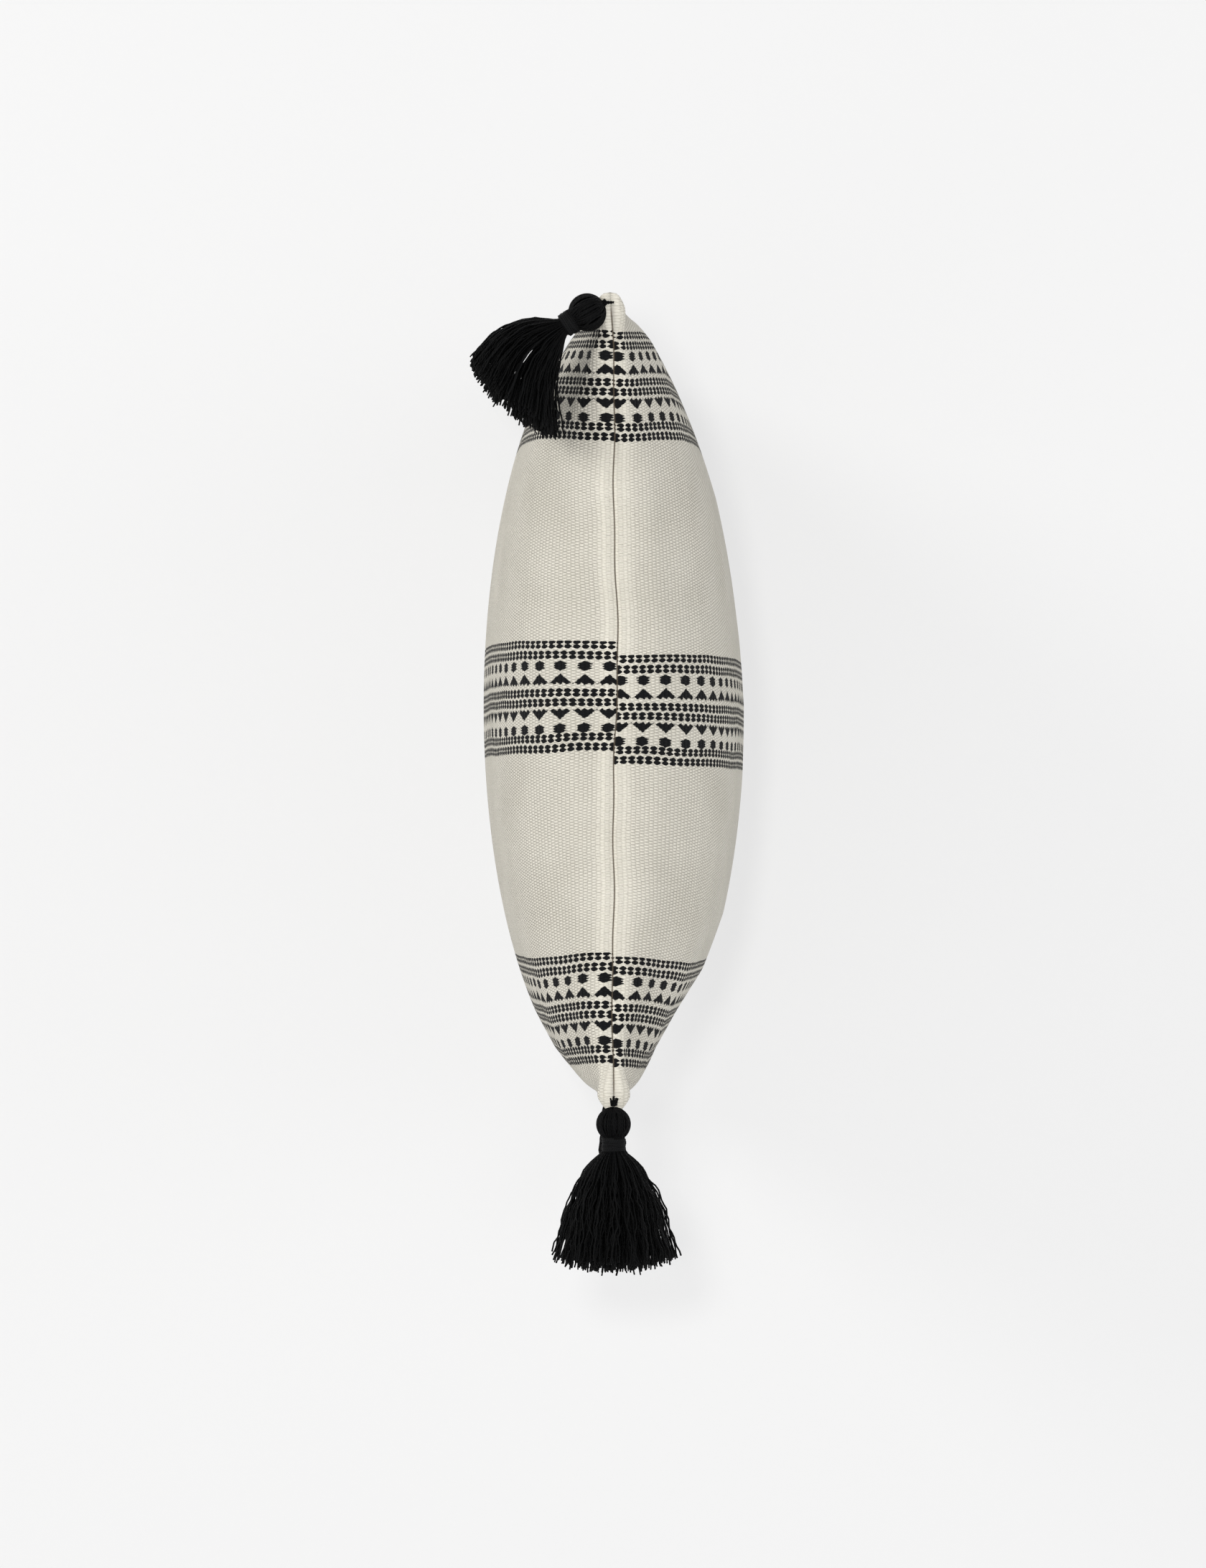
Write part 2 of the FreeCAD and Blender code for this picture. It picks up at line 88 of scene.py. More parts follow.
def make_piece(name, verts, faces, loop_uv, material, seam_uv=None):
    """A smooth-shaded mesh object. faces is a list of arrays, each with faces of one size."""
    mesh = bpy.data.meshes.new(name)
    verts = np.asarray(verts, np.float32).reshape(-1, 3)
    corners = np.concatenate([f.ravel() for f in faces])
    sizes = np.concatenate([np.full(len(f), f.shape[1]) for f in faces])
    mesh.vertices.add(len(verts))
    mesh.vertices.foreach_set("co", verts.ravel())
    mesh.loops.add(len(corners))
    mesh.loops.foreach_set("vertex_index", corners.astype(np.int32))
    mesh.polygons.add(len(sizes))
    starts = np.concatenate([[0], np.cumsum(sizes)[:-1]])
    mesh.polygons.foreach_set("loop_start", starts.astype(np.int32))
    layer = mesh.uv_layers.new(name="lay")
    layer.data.foreach_set("uv", np.asarray(loop_uv, np.float32).ravel())
    if seam_uv is not None:
        layer = mesh.uv_layers.new(name="seam")
        layer.data.foreach_set("uv", np.asarray(seam_uv, np.float32).ravel())
    mesh.update(calc_edges=True)
    mesh.polygons.foreach_set("use_smooth", np.ones(len(sizes), bool))
    mesh.materials.append(material)
    piece = bpy.data.objects.new(name, mesh)
    scene.collection.objects.link(piece)
    return piece


def tubes(paths, radii, sides, first_strand=0):
    """Closed round tubes along paths (strand, ring, xyz). Each loop's UV is the strand's number
    plus the share of the way round, and the length along it in millimetres."""
    count, rings = paths.shape[:2]
    tangent = unit(np.gradient(paths, axis=1))
    across = np.empty_like(paths)
    side = np.cross(tangent[:, 0], (0.31, 0.52, 0.79))
    for ring in range(rings):
        way = tangent[:, ring]
        side = unit(side - way * np.sum(side * way, 1, keepdims=True))
        across[:, ring] = side
    other = np.cross(tangent, across)
    angle = np.arange(sides) / sides * 2 * math.pi
    offset = (
        across[:, :, None] * np.cos(angle)[:, None] + other[:, :, None] * np.sin(angle)[:, None]
    )
    ring_verts = paths[:, :, None] + offset * radii[:, :, None, None]
    tip = radii[:, [0, -1], None] * tangent[:, [0, -1]] * np.array([-0.5, 0.5])[:, None]
    ends = paths[:, [0, -1]] + tip
    verts = np.concatenate([ring_verts.reshape(count, -1, 3), ends], 1)
    per_tube = rings * sides + 2
    r, s = np.meshgrid(np.arange(rings - 1), np.arange(sides), indexing="ij")
    nxt = (s + 1) % sides
    quad = np.stack([r * sides + s, r * sides + nxt, (r + 1) * sides + nxt, (r + 1) * sides + s], -1)
    quad = quad.reshape(-1, 4)
    rim = np.arange(sides)
    start_cap = np.stack([(rim + 1) % sides, rim, np.full(sides, rings * sides)], -1)
    last = (rings - 1) * sides
    end_cap = np.stack(
        [last + rim, last + (rim + 1) % sides, np.full(sides, rings * sides + 1)], -1
    )
    caps = np.concatenate([start_cap, end_cap])
    base = np.arange(count)[:, None, None] * per_tube
    length = np.cumsum(np.linalg.norm(np.diff(paths, axis=1, prepend=paths[:, :1]), axis=2), 1) / MM
    strand = (first_strand + np.arange(count))[:, None, None]
    round_share = np.stack([s, s + 1, s + 1, s], -1).reshape(1, -1, 4) / sides * 0.98 + 0.01
    ring_of = np.stack([r, r, r + 1, r + 1], -1).reshape(-1)
    quad_uv = np.stack(
        [strand + np.broadcast_to(round_share, (count,) + round_share.shape[1:]),
         length[:, ring_of].reshape(count, -1, 4)], -1,
    )
    cap_u = np.broadcast_to(strand + 0.5, (count, 2 * sides, 3))
    cap_v = np.repeat(length[:, [0, -1]], sides, 1)[:, :, None] * np.ones(3)
    cap_uv = np.stack([cap_u, cap_v], -1)
    quads = (quad + base).reshape(-1, 4)
    ends = (caps + base).reshape(-1, 3)
    return verts.reshape(-1, 3), quads, ends, quad_uv, cap_uv


def joined(parts):
    """Several tubes() results as one mesh's vertices, faces and UVs."""
    verts, quads, caps, quad_uv, cap_uv, total = [], [], [], [], [], 0
    for v, q, c, qu, cu in parts:
        verts.append(v)
        quads.append(q + total)
        caps.append(c + total)
        quad_uv.append(qu.reshape(-1, 2))
        cap_uv.append(cu.reshape(-1, 2))
        total += len(v)
    return (
        np.concatenate(verts),
        [np.concatenate(quads), np.concatenate(caps)],
        np.concatenate(quad_uv + cap_uv),
    )


def tube_piece(name, parts, material):
    verts, faces, loop_uv = joined(parts)
    return make_piece(name, verts, faces, loop_uv, material)


# ---------------------------------------------------------------- materials


class Number:
    """A value that Math nodes work out in a material."""

    def __init__(self, tree, socket):
        self.tree = tree
        self.socket = socket

    def math(self, operation, *others):
        node = self.tree.nodes.new("ShaderNodeMath")
        node.operation = operation
        for slot, value in enumerate((self, *others)):
            if isinstance(value, Number):
                self.tree.links.new(value.socket, node.inputs[slot])
            else:
                node.inputs[slot].default_value = value
        return Number(self.tree, node.outputs[0])

    def __add__(self, other):
        return self.math("ADD", other)

    def __sub__(self, other):
        return self.math("SUBTRACT", other)

    def __mul__(self, other):
        return self.math("MULTIPLY", other)

    def __neg__(self):
        return self * -1.0

    def floor(self):
        return self.math("FLOOR")

    def part(self):
        return self.math("FRACT")

    def size(self):
        return self.math("ABSOLUTE")

    def wave(self):
        return self.math("SINE")

    def power(self, exponent):
        return self.math("POWER", exponent)

    def wrapped(self, span):
        return self.math("FLOORED_MODULO", span)

    def least(self, other):
        return self.math("MINIMUM", other)

    def most(self, other):
        return self.math("MAXIMUM", other)

    def step(self, low, high):
        node = self.tree.nodes.new("ShaderNodeMapRange")
        node.interpolation_type = "SMOOTHSTEP"
        self.tree.links.new(self.socket, node.inputs["Value"])
        node.inputs["From Min"].default_value = low
        node.inputs["From Max"].default_value = high
        return Number(self.tree, node.outputs["Result"])


class Finish:
    """One procedural material."""

    def __init__(self, name, **constants):
        self.material = bpy.data.materials.new(name)
        self.material.use_nodes = True
        self.tree = self.material.node_tree
        self.shader = self.tree.nodes["Principled BSDF"]
        for socket, value in constants.items():
            self.shader.inputs[socket.replace("_", " ")].default_value = value

    def lay(self, name="lay"):
        """The piece's own flat coordinates."""
        node = self.tree.nodes.new("ShaderNodeUVMap")
        node.uv_map = name
        split = self.tree.nodes.new("ShaderNodeSeparateXYZ")
        self.tree.links.new(node.outputs[0], split.inputs[0])
        return Number(self.tree, split.outputs[0]), Number(self.tree, split.outputs[1])

    def place(self):
        """The point on the object, in millimetres."""
        node = self.tree.nodes.new("ShaderNodeTexCoord")
        split = self.tree.nodes.new("ShaderNodeSeparateXYZ")
        self.tree.links.new(node.outputs["Object"], split.inputs[0])
        return [Number(self.tree, split.outputs[k]) * 1000.0 for k in range(3)]

    def vector(self, x, y, z=0.0):
        node = self.tree.nodes.new("ShaderNodeCombineXYZ")
        for slot, value in enumerate((x, y, z)):
            if isinstance(value, Number):
                self.tree.links.new(value.socket, node.inputs[slot])
            else:
                node.inputs[slot].default_value = value
        return node.outputs[0]

    def noise(self, vector, scale, detail=2.0, roughness=0.5):
        node = self.tree.nodes.new("ShaderNodeTexNoise")
        self.tree.links.new(vector, node.inputs["Vector"])
        node.inputs["Scale"].default_value = scale
        node.inputs["Detail"].default_value = detail
        node.inputs["Roughness"].default_value = roughness
        return Number(self.tree, node.outputs[0])

    def random(self, value):
        node = self.tree.nodes.new("ShaderNodeTexWhiteNoise")
        node.noise_dimensions = "1D"
        self.tree.links.new(value.socket, node.inputs["W"])
        return Number(self.tree, node.outputs["Value"])

    def colour(self, share, first, second):
        """first where share is 0, second where it is 1. Each is a colour or a socket."""
        node = self.tree.nodes.new("ShaderNodeMix")
        node.data_type = "RGBA"
        self.tree.links.new(share.socket, node.inputs[0])
        for slot, value in ((6, first), (7, second)):
            if isinstance(value, tuple):
                node.inputs[slot].default_value = (*value, 1.0)
            else:
                self.tree.links.new(value, node.inputs[slot])
        return node.outputs[2]

    def finish(self, colour, roughness=None, height=None):
        """height is in metres."""
        self.tree.links.new(colour, self.shader.inputs["Base Color"])
        if roughness is not None:
            self.tree.links.new(roughness.socket, self.shader.inputs["Roughness"])
        if height is not None:
            bump = self.tree.nodes.new("ShaderNodeBump")
            bump.inputs["Distance"].default_value = 1.0
            bump.inputs["Strength"].default_value = 1.0
            self.tree.links.new(height.socket, bump.inputs["Height"])
            self.tree.links.new(bump.outputs[0], self.shader.inputs["Normal"])
        return self.material


def weave(u, v, pitch, row_pitch, step):
    """Height of a yarn's dome, 0 in the gaps between yarns to 1 on top of a float. Each column
    of floats stands a step of a row below the one before it."""
    column = (u * (1 / pitch)).floor()
    across = (u * (1 / pitch)).part() - 0.5
    down = (v * (1 / row_pitch) + column * step).part() - 0.5
    width = -(across * across * 4.0) + 1.0
    depth = -(down * down * 4.0) + 1.0
    return width.power(0.62) * depth.power(0.85)


def lozenges(along, down, pitch, phase, rows, half_length, half_height):
    """Positive inside the small lozenges of these rows."""
    nearest = None
    for row in rows:
        away = (down - row).size()
        nearest = away if nearest is None else nearest.least(away)
    middle = ((along * (1 / pitch) + phase).part() - 0.5).size() * pitch
    return -((nearest * (1 / half_height)).power(1.3) + (middle * (1 / half_length)).power(1.7)) + 1.0


def lobed_dot(middle, down, centre):
    """Positive inside a six-pointed dot with a notch in each side."""
    away = (down - centre).size()
    lobe = -((away - 1.35).size() * (1 / 1.7) + middle * (1 / 4.3)) + 1.0
    body = -(away * (1 / 3.0) + middle * (1 / 3.9)) + 1.0
    return lobe.most(body)


def mountain(middle, down, apex, way):
    """Positive inside a hill whose base has three lobes. way is 1 for an apex at the top."""
    drop = (down - apex) * way
    slope = drop - middle * 0.84 + 0.5
    ripple = (middle * (math.pi / 3.9)).math("COSINE")
    base = -drop + ripple * ripple * 1.1 + 4.7
    return (slope.least(base).least(drop + 0.3)) * 0.4


def woven_cotton(name, band_top, band_spacing, middle_shift, stretch, base, lean, first_dot):
    f = Finish(name, Sheen_Weight=0.03, Sheen_Roughness=0.6, Specular_IOR_Level=0.1)
    u, v = f.lay()
    place = f.vector(u, v)
    drift = f.noise(place, 0.02, 2.0) - 0.5
    grain = f.noise(place, 0.55, 3.0, 0.6) - 0.5
    fluff = f.noise(place, 2.6, 3.0, 0.7) - 0.5
    wide = u + grain * 0.9 + drift * 2.0
    high = v + drift * 2.4 + grain * 0.55
    dome = weave(wide, high, 2.7, 1.85, lean)
    rib = weave(wide, high, 5.0, 1.1, 0.5)
    edge, from_corner = f.lay("seam")
    smoother = edge.step(5.0, 14.0) * 0.75 + 0.25
    surface = dome * smoother + rib * (-smoother + 1.0) * 0.55
    # bands
    bulge = (v * (math.pi / 390)).math("COSINE")
    bow = (u * (math.pi / 512)).math("COSINE")
    shifted = -(v + drift * 3.0) + band_top - bulge * bulge * middle_shift
    shifted = shifted - bow * bow * (v * 0.05 + 2.4)
    down = (shifted + grain * 0.3).wrapped(band_spacing) * (1 / stretch)
    shelf = (v * (1 / 0.62)).floor()
    along = u + (f.random(shelf) - 0.5) * 0.55 + grain * 0.5
    small = lozenges(along, down, 5.0, 0.0, (0.8, 3.4, 29.5, 31.8, 55.9, 58.2), 2.25, 1.32)
    shift = lozenges(along, down, 5.0, 0.45, (7.2, 9.7, 35.2, 37.5, 61.8, 64.1), 2.25, 1.32)
    middle = ((along * (1 / 14.2) + first_dot).part() - 0.5).size() * 14.2
    dots = lobed_dot(middle, down, 14.9).most(lobed_dot(middle, down, 51.8))
    hills = mountain(middle, down, 20.2, 1.0).most(mountain(middle, down, 45.9, -1.0))
    field = small.most(shift).most(dots).most(hills) + (dome - 0.35) * 0.2 + fluff * 0.42 - 0.03
    motif = field.step(-0.10, 0.02)
    # colours
    speck = f.noise(place, 0.9, 1.0).step(0.735, 0.76) * f.noise(place, 0.12, 1.0).step(0.5, 0.62)
    # partly painted shade: the cotton is darker in the gaps between yarns and lighter on the floats;
    # drift, grain and fluff add a random tone
    tone = dome * 0.46 + (drift + grain * 1.2 + fluff * 0.9) * 0.6 + 0.36
    cotton = f.colour(tone.step(0.0, 1.0), tuple(c * k for c, k in zip(base, (0.70, 0.69, 0.66))), base)
    cotton = f.colour(speck * 0.55, cotton, (0.16, 0.11, 0.07))
    # partly painted shade: the ink is lighter on the floats and darker in the gaps between yarns; fluff
    # varies it at random
    inky = (fluff * 1.3 + dome * 0.4 + 0.05).step(0.25, 0.95)
    ink = f.colour(inky, (0.004, 0.0042, 0.005), (0.024, 0.025, 0.029))
    cloth = f.colour(motif, cotton, ink)
    # painted shade: the cloth is darkened to brown within 0.8 mm of the seam, where the groove lies in
    # shade, fading out near the corners
    painted_seam_shade = edge.step(0.8, 0.1) * from_corner.step(3.0, 14.0) * 0.8
    cloth = f.colour(painted_seam_shade, cloth, (0.13, 0.10, 0.07))
    height = (surface * 0.85 + fluff * 0.2 + motif * 0.10) * MM
    roughness = fluff * 0.1 + 0.86
    return f.finish(cloth, roughness, height)


def yarn_finish(name, dark, light, ply_pitch, depth, **constants):
    """Twisted yarn: two plies wind round each strand."""
    f = Finish(name, **constants)
    u, v = f.lay()
    tone = f.random(u.floor())
    ply = (u * (4 * math.pi) + v * (2 * math.pi / ply_pitch)).wave() * 0.5 + 0.5
    x, y, z = f.place()
    fibre = f.noise(f.vector(x, y, z), 3.5, 3.0, 0.7)
    # partly painted shade: each strand is darker in the grooves between its plies and lighter on their
    # crests; tone and fibre add a random variation
    share = (ply * 0.35 + tone * 0.4 + fibre * 0.6 - 0.25).step(0.0, 1.0)
    height = (ply.power(0.5) + fibre * 0.3) * depth
    return f.finish(f.colour(share, dark, light), fibre * 0.3 + 0.45, height)


def flat_cloth(name, dark, light, pitch, row_pitch, depth, **constants):
    """A finer plain weave laid out by the point on the object."""
    f = Finish(name, **constants)
    x, y, z = f.place()
    dome = weave(x, z + y, pitch, row_pitch, 0.5)
    fluff = f.noise(f.vector(x, y, z), 1.2, 3.0, 0.6)
    # partly painted shade: the cloth is lighter on each yarn's dome and darker in the gaps; fluff
    # varies it at random
    share = (dome * 0.5 + fluff * 0.6).step(0.1, 0.95)
    return f.finish(f.colour(share, dark, light), fluff * 0.25 + 0.65, dome * depth)


def ribbed(name, dark, light, pitch, depth, **constants):
    """Twill tape and satin: fine slanting ribs."""
    f = Finish(name, **constants)
    x, y, z = f.place()
    rib = ((x + y * 0.8 + z * 0.4) * (2 * math.pi / pitch)).wave() * 0.5 + 0.5
    fluff = f.noise(f.vector(x, y, z), 1.6, 2.0)
    # partly painted shade: lighter on the ribs and darker in the grooves between them; fluff varies it
    # at random
    share = (rib * 0.5 + fluff * 0.5).step(0.1, 0.9)
    return f.finish(f.colour(share, dark, light), fluff * 0.2 + 0.55, rib * depth)


def worn_metal(name):
    f = Finish(name, Metallic=1.0)
    x, y, z = f.place()
    place = f.vector(x, y, z)
    worn = f.noise(place, 0.9, 4.0, 0.65)
    scratch = f.noise(f.vector(x * 8.0, y * 0.6, z * 0.8), 1.4, 3.0)
    tone = f.colour(worn.step(0.3, 0.75), (0.42, 0.38, 0.31), (0.66, 0.61, 0.52))
    return f.finish(tone, worn * 0.3 + scratch * 0.15 + 0.12, scratch * 0.00002)


CREAM = (0.80, 0.765, 0.675)
front_cotton = woven_cotton("woven_cotton_front", 233.6, 195.6, -0.6, 1.065, CREAM, 0.5, 0.79)
back_cotton = woven_cotton("woven_cotton_back", 233.0, 196.4, 7.2, 1.06, CREAM, 0.36, 0.61)
# the thread is real, but its browns are painted shade: as dark as the cream cloth in the shade of the
# seam groove, where the stitches lie
thread = yarn_finish("sewing_thread", (0.34, 0.25, 0.17), (0.60, 0.50, 0.38), 1.1, 0.00003)
casing = flat_cloth("casing_cloth", (0.70, 0.69, 0.66), (0.86, 0.85, 0.83), 0.9, 0.9, 0.00008)
fibre = flat_cloth("polyester_fibre", (0.74, 0.74, 0.75), (0.93, 0.93, 0.94), 3.0, 2.0, 0.0006)
satin = ribbed("label_satin", (0.62, 0.62, 0.63), (0.85, 0.85, 0.86), 0.5, 0.00002)
tape = ribbed("zip_tape", (0.52, 0.49, 0.42), (0.74, 0.71, 0.63), 0.8, 0.00008)
coil = ribbed("zip_coil", (0.60, 0.58, 0.53), (0.82, 0.80, 0.75), 1.3, 0.00002, Coat_Weight=0.2)
metal = worn_metal("zip_metal")
black = yarn_finish(
    "black_yarn", (0.0003, 0.0003, 0.0004), (0.0036, 0.0038, 0.0041), 2.6, 0.0002,
    Specular_IOR_Level=0.09,
)
bound = yarn_finish(
    "black_binding", (0.0012, 0.0012, 0.0014), (0.010, 0.0105, 0.011), 1.3, 0.0001,
    Specular_IOR_Level=0.1,
)


# ---------------------------------------------------------------- cover


GRID = 65  # points along each side of a simulated panel
SETTLING_FRAMES = 12
START_PULL = 0.009
START_CROWN = 0.079
VOLUME = 0.0214


def section_share(shares, half_width, crown):
    """Where points evenly spaced along half an ellipse lie across it, from -1 to 1."""
    theta = np.linspace(-math.pi / 2, math.pi / 2, 721)
    speed = np.hypot(half_width * np.cos(theta), crown * np.sin(theta))
    length = np.concatenate([[0], np.cumsum((speed[1:] + speed[:-1]) / 2)])
    return np.sin(np.interp(shares, length / length[-1] * 2 - 1, theta))


def starting_panel():
    """A crowned square whose cloth is spaced evenly along every section."""
    shares = np.linspace(-1, 1, GRID)
    radius = (CORNER**2 + START_PULL**2) / (2 * START_PULL)
    columns = np.empty((GRID, GRID))
    for j, share in enumerate(shares):
        row = section_share(np.array([share]), CORNER - START_PULL, START_CROWN)[0]
        height = max(START_CROWN * math.sqrt(max(0, 1 - row * row)), 1e-6)
        half_width = CORNER - START_PULL * (1 - row * row)
        columns[:, j] = section_share(shares, half_width, height)
    rows = columns.T.copy()

    def inset(along):
        return np.sqrt(radius**2 - (along * CORNER) ** 2) - (radius - START_PULL)

    x = columns * (CORNER - inset(rows))
    z = rows * (CORNER - inset(columns))
    y = START_CROWN * np.sqrt(np.clip(1 - columns**2, 0, 1) * np.clip(1 - rows**2, 0, 1))
    return x, y, z


def settled_panels():
    """The two panels, sewn round their edge and blown up by the filling."""
    x, y, z = starting_panel()
    shares = np.linspace(-1, 1, GRID) * FLAT_HALF
    rim = np.zeros((GRID, GRID), bool)
    rim[[0, -1], :] = True
    rim[:, [0, -1]] = True
    number = np.arange(GRID * GRID).reshape(GRID, GRID)
    other = number.copy()
    other[~rim] = GRID * GRID + np.arange((~rim).sum())
    flat_x, flat_z = np.meshgrid(shares, shares, indexing="ij")
    front = np.stack([x, -y, z], -1)
    back = np.stack([x, y, z], -1)
    flat = np.stack([flat_x, np.zeros_like(flat_x), flat_z], -1)
    verts = np.concatenate([front.reshape(-1, 3), back[~rim]])
    flats = np.concatenate([flat.reshape(-1, 3), flat[~rim]])
    faces = []
    for ids, turned in ((number, False), (other, True)):
        quad = np.stack([ids[:-1, :-1], ids[1:, :-1], ids[1:, 1:], ids[:-1, 1:]], -1).reshape(-1, 4)
        faces.append(quad[:, ::-1] if turned else quad)
    mesh = bpy.data.meshes.new("panels")
    mesh.from_pydata(verts.tolist(), [], np.concatenate(faces).tolist())
    cloth = bpy.data.objects.new("panels", mesh)
    scene.collection.objects.link(cloth)
    cloth.shape_key_add(name="filled")
    cut = cloth.shape_key_add(name="cut")
    cut.value = 0
    cut.data.foreach_set("co", flats.astype(np.float32).ravel())
    modifier = cloth.modifiers.new("cloth", "CLOTH")
    s = modifier.settings
    s.quality = 6
    s.mass = 0.15
    s.tension_stiffness = s.compression_stiffness = 40
    s.shear_stiffness = 8
    s.bending_stiffness = 0.3
    s.tension_damping = s.compression_damping = s.shear_damping = 8
    s.bending_damping = 0.5
    s.air_damping = 3
    s.use_pressure = True
    s.uniform_pressure_force = 0.6
    s.use_pressure_volume = True
    s.target_volume = VOLUME
    s.rest_shape_key = cut
    s.effector_weights.gravity = 0
    modifier.collision_settings.use_collision = False
    modifier.collision_settings.use_self_collision = False
    modifier.point_cache.frame_start = 1
    modifier.point_cache.frame_end = SETTLING_FRAMES + 1
    for moment in range(1, SETTLING_FRAMES + 1):
        scene.frame_set(moment)
    shaped = cloth.evaluated_get(bpy.context.evaluated_depsgraph_get())
    points = np.empty(len(verts) * 3, np.float32)
    shaped.data.vertices.foreach_get("co", points)
    points = points.reshape(-1, 3).astype(float)
    bpy.data.objects.remove(cloth)
    scene.frame_set(1)
    return points[number], points[other]


def resampled(grid, places):
    """A smooth cubic resampling of a square grid of points along both of its directions."""
    spot = (places + 1) / 2 * (len(grid) - 1)
    first = np.clip(np.floor(spot).astype(int), 0, len(grid) - 2)
    t = spot - first
    padded = np.concatenate([2 * grid[:1] - grid[1:2], grid, 2 * grid[-1:] - grid[-2:-1]])
    weights = [
        -0.5 * t + t**2 - 0.5 * t**3,
        1 - 2.5 * t**2 + 1.5 * t**3,
        0.5 * t + 2 * t**2 - 1.5 * t**3,
        -0.5 * t**2 + 0.5 * t**3,
    ]
    return sum(w[:, None, None] * padded[first + k] for k, w in enumerate(weights))


FINE = 205
ruler = np.linspace(-1, 1, FINE)
ruler = 0.35 * ruler + 0.65 * np.sin(ruler * math.pi / 2)
FLAT_U, FLAT_V = np.meshgrid(ruler * FLAT_HALF, ruler * FLAT_HALF, indexing="ij")
FROM_SIDE = FLAT_HALF - np.abs(FLAT_U)
FROM_TOP = FLAT_HALF - np.abs(FLAT_V)
FROM_EDGE = np.minimum(FROM_SIDE, FROM_TOP)
FROM_CORNER = np.hypot(FROM_SIDE, FROM_TOP)


def dimples():
    """Soft hollows a finger's width in from the seams, and faint folds from the corners."""
    shape = np.zeros_like(FLAT_U)
    for edge in range(4):
        along, inward = (FLAT_V, FROM_SIDE) if edge < 2 else (FLAT_U, FROM_TOP)
        same = (FLAT_U if edge < 2 else FLAT_V) * (1 if edge % 2 else -1) > 0
        place = -0.235
        while place < 0.235:
            place += rng.uniform(0.012, 0.03)
            depth = rng.uniform(0.25, 0.85) * MM
            inset = rng.uniform(0.009, 0.016)
            long, short = rng.uniform(0.005, 0.011), rng.uniform(0.004, 0.008)
            hollow = np.exp(-(((along - place) / long) ** 2) - ((inward - inset) / short) ** 2)
            shape -= depth * hollow * same
    for cx in (-1, 1):
        for cz in (-1, 1):
            dx, dz = FLAT_HALF - cx * FLAT_U, FLAT_HALF - cz * FLAT_V
            angle = np.arctan2(dz, dx)
            reach = np.hypot(dx, dz)
            for _ in range(4):
                middle, width = rng.uniform(0.25, 1.32), rng.uniform(0.07, 0.15)
                height = rng.uniform(-1.3, 1.2) * MM
                fade = smooth(0.012, 0.04, reach) * (1 - smooth(0.06, rng.uniform(0.11, 0.17), reach))
                shape += height * np.exp(-(((angle - middle) / width) ** 2)) * fade
    return shape


def normals(points, side):
    """Outward directions of a panel's grid of points."""
    du = np.gradient(points, axis=0)
    dv = np.gradient(points, axis=1)
    out = np.cross(du, dv) if side < 0 else np.cross(dv, du)
    weak = np.linalg.norm(out, axis=-1) < 1e-12
    out[weak] = points[weak] - [0, SEAM_Y, 0]
    return unit(out)


def seam_distance(points):
    """How far each point is from the nearest seam, along the cloth."""
    nearest = np.full(points.shape[:2], np.inf)
    for axis in (0, 1):
        for way in (1, -1):
            line = np.flip(points, axis) if way < 0 else points
            step = np.linalg.norm(np.diff(line, axis=axis), axis=-1)
            total = np.cumsum(step, axis)
            total = np.insert(total, 0, 0, axis)
            nearest = np.minimum(nearest, np.flip(total, axis) if way < 0 else total)
    return nearest


# The filling pushes the cloth out to a full, round side a hand's width in from each side seam.
FULLER_FROM = np.array([0, 10, 19, 33, 47, 61, 76, 90, 120, 160, 210, 256]) * MM
FULLER_SHARE = np.array([1, 0.99, 0.985, 1.02, 1.10, 1.14, 1.14, 1.125, 1.085, 1.04, 1.01, 1])
# Each half is less filled towards its corners, at these heights.
HEIGHTS = np.array([-243, -238, -232, -212, -190, -165, -130, -60, 0, 57, 94, 130, 158, 176,
                    200, 220, 229, 236, 243]) * MM
BACK_SHARES = np.array([0.85, 0.75, 0.72, 0.70, 0.80, 0.94, 1.0, 1.0, 1.0, 0.965, 0.95, 0.935,
                        0.90, 0.875, 0.835, 0.79, 0.70, 0.62, 0.70])
FRONT_SHARES = np.array([0.8, 0.8, 0.86, 0.97, 1.0, 1.0, 1.0, 1.0, 1.0, 1.0, 1.0, 1.0,
                         1.0, 1.0, 0.97, 0.90, 0.80, 0.72, 0.75])


NOSE = 8.9 * MM  # how far the turned seam allowance fills each corner out
TIP_REACH = 1.6 * MM  # how far it pushes the corner's tip
SEAM_WANDER = 1.6 * MM
TOP_WANDER = 0.9 * MM
FLAT_SOFTNESS = 0.4 * MM  # how gently the back's flat begins
GROOVE_HALF_WIDTH = 2.5 * MM
SLOT_RISE = 0.9 * MM
SEAM_GAP = 0.04 * MM


